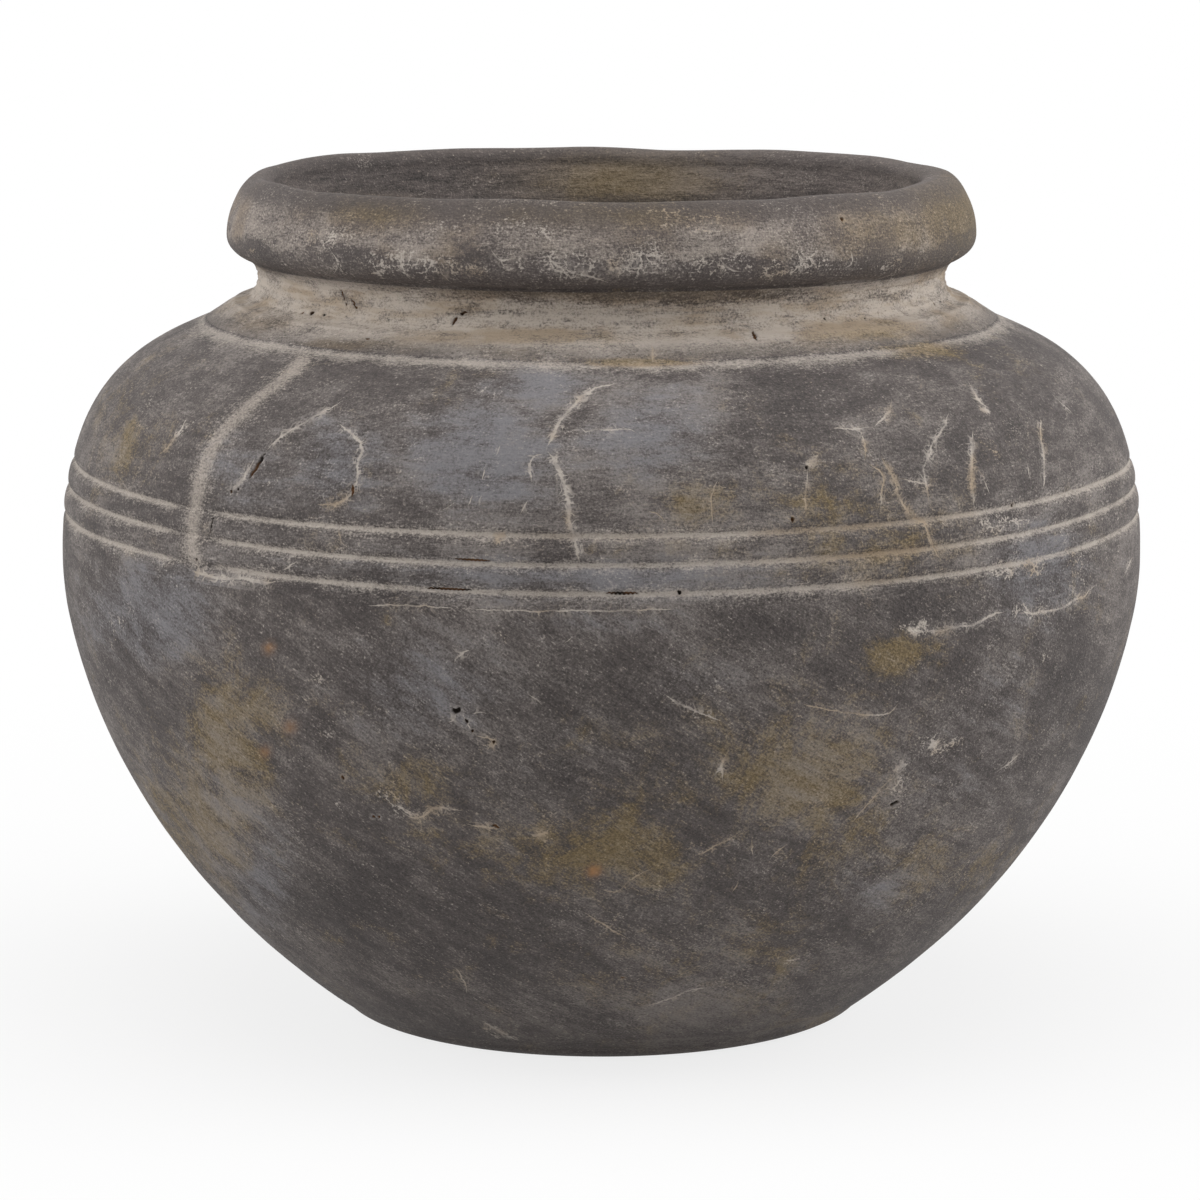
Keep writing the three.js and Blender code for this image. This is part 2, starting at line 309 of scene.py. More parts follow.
bpy.ops.object.select_all(action="DESELECT")
bpy.ops.mesh.primitive_plane_add(size=MM)
skin = bpy.context.object
skin.name = "skin"
bpy.ops.object.mode_set(mode="EDIT")
bpy.ops.mesh.select_mode(type="VERT")
bpy.ops.mesh.merge(type="CENTER")
for start, end in zip(rows, rows[1:]):
    bpy.ops.mesh.extrude_region_move(TRANSFORM_OT_translate={"value": on_seam(end) - on_seam(start)})
bpy.ops.object.mode_set(mode="OBJECT")
turn = skin.modifiers.new("turn", "SCREW")
turn.axis = "Z"
turn.angle = math.tau
turn.steps = turn.render_steps = COLUMNS
bpy.ops.object.modifier_apply(modifier=turn.name)
bpy.ops.object.mode_set(mode="EDIT")
bpy.ops.mesh.select_all(action="SELECT")
bpy.ops.mesh.remove_doubles(threshold=MERGE_GAP)
bpy.ops.mesh.normals_make_consistent(inside=False)
bpy.ops.object.mode_set(mode="OBJECT")
print("skin", len(skin.data.vertices), "vertices", len(skin.data.polygons), "faces")

# %% Remember the row of every vertex


def read(items, name, width=1, kind=np.float32):
    """All values of one property, with one line per item where an item has more than one."""
    flat = np.empty(len(items) * width, kind)
    items.foreach_get(name, flat)
    return flat if width == 1 else flat.reshape(-1, width)


def places(piece):
    """Where the vertices are, in millimetres."""
    return read(piece.data.vertices, "co", 3) / MM


def keep(piece, name, values):
    """Stores one number, or three, at every vertex."""
    kind, field = ("FLOAT", "value") if values.ndim == 1 else ("FLOAT_VECTOR", "vector")
    layer = piece.data.attributes.get(name) or piece.data.attributes.new(name, kind, "POINT")
    layer.data.foreach_set(field, values.astype(np.float32).ravel())


def kept(piece, name):
    return read(piece.data.attributes[name].data, "value")


tree = kdtree.KDTree(len(rows))
for number, (radius, height) in enumerate(rows):
    tree.insert((radius, height, 0), number)
tree.balance()
spun = places(skin)
spun_radius = np.hypot(spun[:, 0], spun[:, 1])
row_of = np.array([tree.find((r, z, 0))[1] for r, z in zip(spun_radius, spun[:, 2])])
keep(skin, "row", row_of.astype(float))
print("rows found", len(np.unique(row_of)))

# %% [markdown]
# ## Hand-made unevenness
#
# No two places on a hand-built pot are alike. Each kind of unevenness is painted as a weight on the vertices,
# and a Displace modifier pushes them by it: the three scored grooves with soft swells between them, wiping
# rings on the neck, a wavy rim whose mouth sits a little to the left, and broad lumps from a cloud texture.
# Sculpting would also work, but weights can be measured and changed.

# %% Displace by painted weights
SLIGHTEST_WEIGHT = 0.001


def displace(piece, name, weight, strength, **settings):
    """Moves vertices by a strength in millimetres, each by its own weight."""
    group = piece.vertex_groups.new(name=name)
    for index in np.flatnonzero(weight > SLIGHTEST_WEIGHT):
        group.add([int(index)], float(weight[index]), "REPLACE")
    modifier = piece.modifiers.new(name, "DISPLACE")
    modifier.strength = strength * MM
    modifier.vertex_group = group.name
    for key, value in settings.items():
        setattr(modifier, key, value)
    bpy.ops.object.modifier_apply(modifier=modifier.name)
    piece.vertex_groups.remove(piece.vertex_groups[name])


def push(piece, name, amount, direction="NORMAL"):
    """Moves vertices by an amount in millimetres, outwards where it is above zero."""
    for side in (1, -1):
        weight = np.clip(side * amount, 0, None)
        peak = float(weight.max())
        if peak > 0:
            displace(piece, name, weight / peak, side * peak, direction=direction, mid_level=0)
    print(name, "moved", round(float(amount.min()), 2), "to", round(float(amount.max()), 2), "mm")


def lumps(piece, name, size, height, weight):
    """Soft lumps of one size, as high as given, in millimetres."""
    texture = bpy.data.textures.new(name, "CLOUDS")
    texture.noise_scale = size * MM
    displace(piece, name, weight, 2 * height, texture=texture, texture_coords="LOCAL")
    print(name, "lumps of", size, "mm")


def ease(value, low, high):
    """0 below low, 1 above high and a soft step between them."""
    share = np.clip((value - low) / (high - low), 0, 1)
    return share * share * (3 - 2 * share)


def between(value, rise, fall):
    """1 between two soft steps, and 0 outside them."""
    return ease(value, *rise) * (1 - ease(value, *fall))


# %% Grooves and swells
GROOVE_HEIGHTS = (190.1, 199.7, 209.1)
GROOVE_WIDTH = 2.3
GROOVE_DEPTH = 1.15
GROOVE_WANDER = 0.25
GROOVE_DIP = 2.0
SWELL = 0.4
SWELL_HALF_WIDTH = 2.8
BROKEN_BY_SEAM_DEG = 225.5
BROKEN_SHARE = 0.85
BROKEN_REACH = 6

height = spun[:, 2]
azimuth = np.arctan2(spun[:, 1], spun[:, 0])
outside = row_of <= crest_row
on_shoulder = outside & (height > bottom("shoulder_half_front")) & (height < collar_foot)


def groove_gap(height, azimuth, number):
    """Height above the wandering middle of one groove, which dips towards the front."""
    wander = np.sin(2 * azimuth + 1.7 * number) + 0.6 * np.sin(5 * azimuth + 2.1 * number)
    dip = GROOVE_DIP * ease(-np.sin(azimuth), 0.3, 1.05)
    return height - GROOVE_HEIGHTS[number] + dip - GROOVE_WANDER * wander


gaps = [groove_gap(height, azimuth, number) for number in range(3)]
depth = 1 + 0.25 * np.sin(7 * azimuth) * np.sin(3 * azimuth + 1)
carved = sum(np.exp(-(gap / GROOVE_WIDTH * 2) ** 2) for gap in gaps)
bands = sum(np.exp(-((a + b) / 2 / SWELL_HALF_WIDTH) ** 2) for a, b in zip(gaps, gaps[1:]))
broken_turn = (azimuth - math.radians(BROKEN_BY_SEAM_DEG) + math.pi / 2) % math.pi - math.pi / 2
broken = 1 - BROKEN_SHARE * np.exp(-(broken_turn * spun_radius / BROKEN_REACH) ** 2)
push(skin, "scored", on_shoulder * (SWELL * bands - GROOVE_DEPTH * depth * carved) * broken)

# %% Neck, rim and lumps
RIM_WAVE = 0.8
LIP_SHIFT = 2.4
NECK_RING = 0.16
STEADY_HEIGHT = 12

on_neck = outside & (height > collar_top) & (height < rim_joint)
rings = np.sin(height * 2.1 + 1.5 * np.sin(azimuth))
rings = rings + 0.7 * np.sin(height * 3.7 + 2 * np.sin(2 * azimuth + 1))
push(skin, "wiped", NECK_RING * on_neck * between(height, (264, 268), (277, 282)) * rings)

rim_share = ease(height, rim_joint, crest)
wave = np.sin(3 * azimuth + 0.6) + 0.6 * np.sin(7 * azimuth + 2) + 0.4 * np.sin(13 * azimuth)
push(skin, "wavy_rim", RIM_WAVE * rim_share * wave / 1.5, "Z")
lip_share = rim_share * ease(-spun_radius, -CREST_RADIUS - 4, -LIP_RADIUS) * (spun_radius > neck_bore - 1)
push(skin, "mouth_to_left", -LIP_SHIFT * lip_share, "X")

steady_foot = ease(height, 0, STEADY_HEIGHT)
lumps(skin, "broad", 90, 0.55, steady_foot)
lumps(skin, "finger", 24, 0.2, steady_foot)

# %% [markdown]
# ## Marks from the photograph
#
# Cracks, pits and stains sit at known pixels. A ray from the camera through a pixel meets the skin at the
# mark's true place, so it stays put from every side. The far sides aren't shown, so they get the same kinds
# of marks, turned a third of the way round, wherever the photograph's view doesn't reach.

# %% Rays from the camera
FOCAL = LENS_MM / SENSOR_MM * PHOTO_SIZE
FAR_TURNS_DEG = (122, 241)
VIEW_EDGE = 0.06 * BELLY_RADIUS
eye = Vector(CAMERA_PLACE)
gaze = camera_turn.to_matrix()
surface = BVHTree.FromObject(skin, bpy.context.evaluated_depsgraph_get())


def on_skin(pixel):
    """The point of the skin that one pixel shows, in millimetres."""
    aside = ((pixel[0] - PHOTO_SIZE / 2) / FOCAL, (PHOTO_SIZE / 2 - pixel[1]) / FOCAL, -1)
    hit = surface.ray_cast(eye, (gaze @ Vector(aside)).normalized())[0]
    return None if hit is None else np.array(hit) / MM


def turned(points, degrees):
    """Points turned about the jar's axis."""
    return points @ np.array(Matrix.Rotation(math.radians(degrees), 3, "Z")).T


def in_view(points):
    """Whether points lie on the side that the photograph shows."""
    return points[:, 1] < VIEW_EDGE


def to_photo(points):
    """The pixel at which each point would appear."""
    local = (points * MM - np.array(eye)) @ np.array(gaze)
    across = PHOTO_SIZE / 2 - FOCAL * local[:, 0] / local[:, 2]
    down = PHOTO_SIZE / 2 + FOCAL * local[:, 1] / local[:, 2]
    return across, down


arch_top = on_skin((546, 449))
print("arch crack starts at", arch_top.round(1))

# %% [markdown]
# ### Smeared seams
#
# The potter pressed slip over each upright joint with a thumb, and a low ridge stayed. It could be a strip of
# its own, but a thumb leaves no edge, so the skin is raised softly along the line.

# %% Smeared seams
SEAM_SMEAR = [(312, 345), (293, 373), (267, 392), (240, 416), (219, 437), (207, 461), (200, 485), (197, 507),
              (193, 528), (192, 549), (197, 572)]
SMEAR_HALF_WIDTH = 4.5
SMEAR_RISE = 0.35
SMEAR_REACH = 20


def gap_to_line(points, line):
    """How far points lie from a line of one or more places, and how far along it the nearest place is."""
    if len(line) == 1:
        return np.linalg.norm(points - line[0], axis=1), np.zeros(len(points)), np.zeros(len(points), int)
    start = line[:-1]
    step = np.diff(line, axis=0)
    reach = np.linalg.norm(step, axis=1)
    offset = points[:, None, :] - start
    share = np.clip((offset * step).sum(2) / reach**2, 0, 1)
    gap = np.linalg.norm(offset - share[..., None] * step, axis=2)
    nearest = gap.argmin(axis=1)
    every = np.arange(len(points))
    travelled = walked(line)[nearest] + share[every, nearest] * reach[nearest]
    return gap[every, nearest], travelled, nearest


def near_box(points, line, margin):
    """Numbers of the points inside a line's box and a margin round it."""
    inside = (points > line.min(0) - margin) & (points < line.max(0) + margin)
    return np.flatnonzero(inside.all(axis=1))


left_smear = np.array([on_skin(pixel) for pixel in SEAM_SMEAR])
smears = [left_smear, turned(left_smear, 180)]


def smear_gap(points):
    """How far points lie from the middle of the nearest smeared seam."""
    gap = np.full(len(points), float(SMEAR_REACH))
    for line in smears:
        close = near_box(points, line, SMEAR_REACH)
        gap[close] = np.minimum(gap[close], gap_to_line(points[close], line)[0])
    return gap


raised = SMEAR_RISE * np.exp(-(smear_gap(places(skin)) / SMEAR_HALF_WIDTH) ** 2)
push(skin, "smeared", on_shoulder * between(height, (184, 190), (253, 259)) * raised)

# %% [markdown]
# ### Pits and slots
#
# Grit and straw burnt out of the clay and left small holes. Booleans would cut them with hard edges, so the
# faces round each hole are subdivided and pushed in, with a ragged edge.

# %% Pits and slots: radius in millimetres, and pixels along the slot
PITS = {
    "rim": [(1.0, [(842, 219)])],
    "neck_left": [
        (0.5, [(255, 297)]), (0.5, [(263, 298)]), (0.45, [(300, 314), (304, 312)]),
        (0.7, [(311, 313), (313, 313)]), (0.65, [(324, 315)]),
    ],
    "rust": [(0.75, [(461, 314), (467, 312)]), (0.8, [(456, 318), (453, 324)]), (0.4, [(466, 334)])],
    "scar": [
        (0.5, [(340, 290), (345, 300)]), (0.45, [(346, 303), (347, 306)]), (0.5, [(351, 299), (357, 309)]),
    ],
    "collar": [(0.5, [(365, 328), (369, 328)]), (0.6, [(366, 338), (369, 339)])],
    "neck_right": [
        (0.75, [(753, 331), (754, 335), (756, 340)]), (0.45, [(821, 325)]), (0.45, [(825, 319)]),
        (0.45, [(865, 318)]), (0.4, [(901, 311), (909, 316)]), (0.5, [(934, 304)]),
        (0.7, [(951, 285), (953, 290)]),
    ],
    "shoulder": [
        (0.85, [(793, 517), (793, 522)]), (0.75, [(807, 467)]), (0.7, [(1012, 505)]), (0.75, [(680, 592)]),
    ],
    "belly": [
        (1.1, [(455, 711), (459, 711)]), (0.6, [(465, 719), (467, 723)]), (0.65, [(472, 731)]),
        (0.65, [(494, 742)]),
    ],
    "bowl": [
        (0.8, [(343, 778)]), (0.7, [(373, 817)]), (0.6, [(379, 817)]), (0.6, [(492, 825), (499, 828)]),
        (0.8, [(622, 978)]), (1.0, [(893, 804), (896, 803)]),
    ],
    "left_shoulder": [
        (1.0, [(264, 454), (257, 466), (249, 478)]), (0.7, [(231, 491)]), (0.6, [(238, 489)]),
        (0.55, [(353, 484), (352, 497)]), (0.6, [(213, 518), (210, 533)]), (0.6, [(197, 559)]),
    ],
    "grooves": [
        (0.5, [(455, 559), (490, 561)]), (0.5, [(428, 588), (471, 590)]), (0.5, [(607, 593), (638, 593)]),
    ],
}
PIT_STEEPNESS = 1.8
PIT_REACH = 5.0
PIT_MARGIN = 4.0
PIT_CUTS = 5


def all_round(pixels):
    """A mark's line on the skin, and its turned copies on the far sides."""
    line = np.array([spot for spot in map(on_skin, pixels) if spot is not None])
    copies = [turned(line, degrees) for degrees in FAR_TURNS_DEG]
    return [line] + [copy for copy in copies if not in_view(copy).any()]


def pit_gap(points, radius, line):
    """How many radii points lie from a pit with a ragged edge, or from a slot that tapers to its ends."""
    ragged = points + 0.3 * radius * np.sin(2.2 * points[:, [1, 2, 0]] / radius)
    gap, travelled = gap_to_line(ragged, line)[:2]
    length = walked(line)[-1]
    slim = 1 - 0.6 * (2 * travelled / length - 1) ** 2 if length > 2 * radius else 1
    return gap / radius / slim


pits = [(radius, line) for group in PITS.values() for radius, pixels in group for line in all_round(pixels)]
centres = read(skin.data.polygons, "center", 3) / MM
chosen = np.zeros(len(centres), bool)
for radius, line in pits:
    close = near_box(centres, line, radius + PIT_MARGIN)
    chosen[close[gap_to_line(centres[close], line)[0] < 1.6 * radius + 1.5]] = True


def select_only(piece, domain, mask):
    """Selects the marked vertices, edges or faces of a piece, and nothing else."""
    mesh = piece.data
    for name, items in (("VERT", mesh.vertices), ("EDGE", mesh.edges), ("FACE", mesh.polygons)):
        items.foreach_set("select", mask if name == domain else np.zeros(len(items), bool))
    bpy.ops.object.select_all(action="DESELECT")
    bpy.context.view_layer.objects.active = piece
    piece.select_set(True)
    bpy.ops.object.mode_set(mode="EDIT")
    bpy.ops.mesh.select_mode(type=domain)


select_only(skin, "FACE", chosen)
bpy.ops.mesh.subdivide(number_cuts=PIT_CUTS)
bpy.ops.object.mode_set(mode="OBJECT")

skin_points = places(skin)
pit_away = np.full(len(skin_points), PIT_REACH)
sunk = np.zeros(len(skin_points))
for radius, line in pits:
    close = near_box(skin_points, line, PIT_REACH * radius)
    away = pit_gap(skin_points[close], radius, line)
    pit_away[close] = np.minimum(pit_away[close], away)
    sunk[close] = np.maximum(sunk[close], (1 - ease(away, 0.4, 1.1)) * radius * PIT_STEEPNESS)
push(skin, "pits", -sunk)
print(len(pits), "pits;", int(chosen.sum()), "faces subdivided")

# %% [markdown]
# ## Crack lines
#
# The pale cracks are hairlines that filled with lime. They are far thinner than the faces, so a weight alone
# would blur them. Each vertex keeps how far it lies to the left or right of the nearest crack and how wide
# that crack is. Distance is a straight slope across a face, so the finish can draw the line as thin and as
# ragged as it likes. Cracks that run close together are kept on separate layers.

# %% Cracks seen in the photograph: width in millimetres, and pixels along the line
CRACKS = {
    "arch": [
        (1.5, [(618, 383), (592, 390), (564, 416), (556, 428), (546, 449)]),
        (1.5, [(546, 449), (556, 464), (564, 482), (569, 505), (571, 525), (576, 546), (580, 564)]),
        (1.0, [(546, 454), (533, 456), (530, 469), (532, 485)]),
        (0.8, [(579, 426), (589, 435), (592, 430), (610, 430), (627, 428), (638, 434)]),
    ],
    "ticks": [
        (0.8, [(500, 446), (496, 456)]), (0.8, [(485, 469), (482, 479)]), (0.9, [(482, 495), (479, 507)]),
        (0.8, [(528, 500), (520, 514)]), (0.7, [(473, 495), (468, 506)]), (0.7, [(456, 502), (441, 511)]),
        (0.6, [(719, 477), (712, 497), (713, 528)]), (0.6, [(645, 511), (658, 513), (666, 525)]),
    ],
    "groove_chip": [(2.4, [(491, 536), (508, 537)]), (1.8, [(495, 537), (500, 545)])],
    "belly_ticks": [
        (1.1, [(454, 663), (456, 657), (467, 652), (471, 649)]), (0.9, [(570, 638), (566, 643)]),
        (0.8, [(528, 695), (537, 699), (541, 704)]),
    ],
    "rusty_legs": [
        (1.0, [(457, 713), (449, 723)]), (0.9, [(462, 713), (465, 722), (469, 727), (472, 731)]),
        (0.8, [(474, 713), (485, 712)]), (0.9, [(474, 735), (497, 742)]),
        (1.2, [(487, 750), (495, 742), (500, 747)]),
    ],
    "left_shoulder": [
        (1.3, [(188, 416), (179, 432), (167, 448), (157, 456)]),
        (1.0, [(343, 400), (330, 409), (305, 422), (284, 435), (272, 444), (264, 454)]),
        (1.6, [(256, 456), (244, 476), (233, 489), (229, 498)]),
        (1.2, [(337, 422), (347, 430), (357, 439), (362, 451), (357, 464), (356, 479),
              (352, 492), (343, 501), (330, 505), (315, 504)]),
        (0.9, [(338, 525), (342, 543), (348, 547)]),
        (1.5, [(190, 569), (203, 574), (223, 578), (244, 579), (267, 583), (279, 580)]),
        (0.9, [(282, 570), (297, 562)]),
    ],
    "right_shoulder": [
        (1.4, [(968, 381), (975, 393), (981, 404), (992, 409)]), (3.2, [(979, 409), (990, 411)]),
        (1.2, [(892, 399), (889, 411), (880, 421), (874, 427)]),
        (0.9, [(827, 428), (842, 428), (857, 428), (874, 427)]),
        (1.1, [(860, 428), (864, 441), (866, 454), (864, 462)]),
        (0.9, [(865, 462), (880, 471), (883, 482), (882, 495), (880, 513)]),
        (1.1, [(880, 454), (888, 469), (896, 485), (898, 497), (906, 509), (915, 519),
              (924, 523), (930, 538), (935, 551), (943, 562)]),
        (1.0, [(949, 412), (944, 428), (935, 439), (929, 454), (924, 469), (927, 487), (929, 507)]),
        (0.8, [(898, 478), (924, 483), (934, 486)]),
        (1.4, [(973, 430), (972, 454), (972, 477), (974, 510)]),
        (0.8, [(977, 467), (985, 482), (991, 497)]),
        (1.1, [(1041, 416), (1041, 439), (1044, 456), (1044, 482), (1042, 490)]),
        (0.9, [(1027, 462), (1031, 482)]), (1.0, [(1050, 392), (1062, 404), (1075, 416)]),
        (2.2, [(819, 454), (812, 462), (808, 470)]),
        (1.0, [(808, 468), (806, 490), (806, 510), (799, 518)]),
    ],
    "right_belly": [
        (3.4, [(906, 628), (921, 631)]),
        (1.2, [(921, 631), (936, 631), (957, 627), (975, 624), (990, 615), (1005, 612)]),
        (1.1, [(1018, 613), (1033, 613), (1064, 607), (1074, 599), (1084, 597), (1087, 592),
              (1097, 584)]),
        (1.2, [(1123, 578), (1133, 556)]),
        (0.7, [(799, 703), (824, 709), (852, 713), (875, 715), (890, 713), (901, 700)]),
        (3.4, [(893, 772), (907, 764)]), (3.2, [(928, 748), (940, 741)]),
        (1.0, [(1023, 749), (1010, 763), (995, 773)]), (0.8, [(900, 772), (880, 790), (850, 825)]),
    ],
    "bowl": [
        (1.2, [(400, 810), (408, 816), (423, 816), (436, 808), (464, 811)]),
        (1.2, [(464, 823), (479, 827), (493, 828), (502, 830)]),
        (1.6, [(528, 833), (538, 836), (550, 829)]),
        (0.8, [(599, 889), (619, 892), (630, 879), (655, 867)]),
        (0.9, [(693, 856), (704, 853), (716, 846), (734, 836), (742, 830)]),
        (0.9, [(752, 838), (753, 856)]), (0.9, [(770, 859), (777, 851), (788, 844)]),
        (1.3, [(730, 749), (721, 764), (723, 782)]),
    ],
    "foot": [
        (0.9, [(635, 1001), (647, 1006), (670, 999), (688, 991), (711, 987)]),
        (1.6, [(479, 1019), (492, 1027), (510, 1037), (522, 1042)]),
        (0.9, [(451, 966), (459, 971), (465, 986), (467, 995)]), (0.9, [(783, 961), (799, 959)]),
    ],
    "streaks": [
        (0.9, [(584, 912), (604, 925), (630, 940)]), (0.9, [(663, 693), (681, 705), (724, 722)]),
        (0.9, [(739, 882), (732, 892)]),
    ],
    "collar": [(1.2, [(651, 344), (653, 352), (652, 364)])],
    "rim": [
        (0.9, [(398, 258), (404, 270), (412, 281)]), (0.8, [(439, 264), (443, 275), (452, 283)]),
        (0.9, [(490, 248), (500, 260), (514, 258)]),
        (1.0, [(545, 250), (552, 262), (566, 272), (574, 283)]),
        (0.9, [(566, 272), (590, 276), (612, 284)]),
        (1.0, [(628, 244), (634, 260), (624, 270), (640, 272)]),
        (0.9, [(720, 256), (725, 267), (742, 272)]), (1.0, [(797, 250), (801, 264), (786, 277)]),
        (0.8, [(850, 250), (853, 262), (842, 270)]), (0.8, [(330, 250), (338, 262), (334, 274)]),
    ],
    "belly_hairline": [
        (0.7, [(366, 606), (389, 605), (420, 606), (455, 608)]),
        (0.7, [(470, 609), (520, 611), (560, 611), (600, 611), (640, 610), (676, 609)]),
    ],
}

# %% Keep the distance to the nearest crack
CRACK_LAYERS = 4
CRACK_REACH = 9.0
CRACK_BODY = 4.5
CRACK_SPACING = 12.0
CRACK_STEP = 2.0
CRACK_TAPER = 6.0
PIXEL_MM = 0.37


def smooth_line(pixels):
    """A line through pixels with its corners rounded and its places close together."""
    points = np.array(pixels, float)
    if len(points) > 2:
        ends = np.concatenate([2 * points[:1] - points[1:2], points, 2 * points[-1:] - points[-2:-1]])
        share = np.linspace(0, 1, 6, endpoint=False)[:, None]
        spans = []
        for a, b, c, d in zip(ends, ends[1:], ends[2:], ends[3:]):
            bend = (2 * a - 5 * b + 4 * c - d) * share**2 + (3 * b - a - 3 * c + d) * share**3
            spans.append(b + 0.5 * ((c - a) * share + bend))
        points = np.concatenate(spans + [points[-1:]])
    length = walked(points)
    stops = np.linspace(0, length[-1], max(3, round(length[-1] / (CRACK_STEP / PIXEL_MM))))
    return np.stack([np.interp(stops, length, points[:, axis]) for axis in (0, 1)], axis=1)


skin_normals = read(skin.data.vertex_normals, "vector", 3)
layer_offset = np.full((CRACK_LAYERS, len(skin_points)), CRACK_REACH)
layer_width = np.zeros((CRACK_LAYERS, len(skin_points)))
layer_lines = [[] for _ in range(CRACK_LAYERS)]


def free_layer(line):
    """The layer whose cracks keep furthest from this line."""
    room = []
    for lines in layer_lines:
        gaps = [gap_to_line(line, other)[0].min() for other in lines]
        room.append(min(gaps, default=math.inf))
        if room[-1] > CRACK_SPACING:
            return len(room) - 1
    return int(np.argmax(room))


def draw_crack(line, width):
    layer = free_layer(line)
    layer_lines[layer].append(line)
    close = near_box(skin_points, line, CRACK_REACH)
    gap, travelled, nearest = gap_to_line(skin_points[close], line)
    step = np.diff(line, axis=0)[nearest]
    side = np.sign((np.cross(step, skin_points[close] - line[nearest]) * skin_normals[close]).sum(1))
    length = walked(line)[-1]
    taper = ease(np.minimum(travelled, length - travelled), 0, min(CRACK_TAPER, 0.4 * length))
    nearer = (gap < CRACK_REACH) & (gap < np.abs(layer_offset[layer, close]))
    mine = close[nearer]
    layer_offset[layer, mine] = (side * gap)[nearer]
    layer_width[layer, mine] = (width * taper * (gap < CRACK_BODY))[nearer]


for group in CRACKS.values():
    for width, pixels in group:
        for line in all_round(smooth_line(pixels)):
            draw_crack(line, width)
for layer in range(CRACK_LAYERS):
    values = np.stack([layer_offset[layer], layer_width[layer], np.zeros(len(skin_points))], axis=1)
    keep(skin, f"crack_{layer}", values)
print("cracks on each layer", [len(lines) for lines in layer_lines])

# %% [markdown]
# ## Stains, with some painted shade and highlight
#
# Smoke, lime and iron coloured the clay in soft clouds. Each cloud is an oval on the photograph, painted on
# the vertices that it covers: ochre where iron came out, grey bloom where lime rose, and soot where the smoke
# lay thick. Two ovals are partly painted light: one in the soot layer is painted shade under the rim's
# overhang, and one in the bloom layer is a painted highlight near the jar's right edge. The finish breaks
# their soft edges up later.

# %% Paint the stains: middle, half width and half height of each oval in pixels, and its strength
OCHRE = [
    (610, 845, 105, 50, 0.8), (800, 775, 95, 75, 0.8), (230, 740, 55, 75, 0.7), (190, 820, 60, 80, 0.7),
    (945, 860, 80, 55, 0.35), (895, 652, 45, 18, 0.7), (700, 505, 65, 25, 0.6), (767, 948, 45, 30, 0.5),
    (480, 835, 90, 25, 0.4), (130, 440, 35, 60, 0.5), (640, 545, 200, 20, 0.25), (880, 550, 90, 40, 0.5),
    (375, 212, 50, 14, 0.8), (625, 180, 95, 26, 1.0), (900, 232, 70, 30, 0.55), (555, 338, 130, 8, 0.5),
    (860, 330, 60, 12, 0.7), (640, 362, 60, 5, 0.9), (930, 350, 60, 10, 0.5), (420, 780, 60, 25, 0.5),
    (760, 1020, 120, 25, 0.35), (620, 980, 120, 40, 0.3), (970, 215, 60, 45, 0.9), (610, 215, 120, 14, 0.6),
    (840, 520, 150, 60, 0.4), (660, 800, 130, 60, 0.4),
]
ORANGE = [
    (594, 871, 6, 5, 0.9), (269, 648, 5, 5, 0.55), (290, 727, 6, 6, 0.4), (265, 752, 5, 5, 0.45),
]
# The oval at (1040, 570) is partly bloom and partly a painted highlight near the jar's right edge.
BLOOM_AND_HIGHLIGHT = [
    (485, 455, 85, 65, 0.7), (150, 615, 75, 55, 0.85), (650, 440, 90, 65, 0.5), (345, 465, 60, 50, 0.6),
    (540, 385, 70, 22, 0.6), (430, 690, 95, 65, 0.5), (720, 690, 70, 45, 0.4), (1040, 570, 60, 60, 0.75),
    (700, 590, 120, 16, 0.4), (940, 790, 90, 60, 0.35), (1000, 700, 70, 60, 0.3), (600, 620, 110, 20, 0.35),
    (250, 480, 60, 60, 0.4), (560, 760, 90, 50, 0.35), (660, 1000, 140, 35, 0.25), (640, 178, 110, 28, 0.9),
    (890, 880, 65, 38, 0.5), (225, 790, 48, 75, 0.65), (262, 880, 40, 65, 0.65), (600, 572, 300, 30, 0.6),
]
# The band at (620, 294) under the rim's overhang is partly soot and partly painted shade. The ovals seen
# inside the mouth darken the far inner wall.
SOOT_AND_SHADE = [
    (350, 895, 75, 50, 0.5), (520, 930, 90, 55, 0.4), (760, 620, 70, 40, 0.6), (900, 600, 70, 30, 0.5),
    (680, 770, 70, 45, 0.5), (390, 590, 70, 22, 0.4), (790, 400, 45, 35, 0.6), (270, 250, 24, 20, 1.0),
    (470, 258, 50, 12, 0.8), (560, 250, 40, 10, 0.6), (640, 250, 30, 14, 0.8), (700, 255, 30, 16, 0.9),
    (800, 262, 40, 16, 0.9), (860, 265, 45, 12, 0.7), (350, 258, 25, 12, 0.7), (610, 200, 360, 10, 0.7),
    (400, 180, 150, 30, 1.0), (800, 620, 110, 60, 0.4), (950, 470, 120, 50, 0.3), (700, 880, 150, 60, 0.35),
    (600, 690, 120, 60, 0.6), (560, 770, 130, 50, 0.4), (330, 195, 90, 25, 1.0), (985, 220, 50, 50, 0.9),
    (620, 294, 210, 12, 0.6), (340, 346, 40, 5, 0.7), (270, 322, 40, 10, 0.4), (1060, 690, 60, 60, 0.35),
]
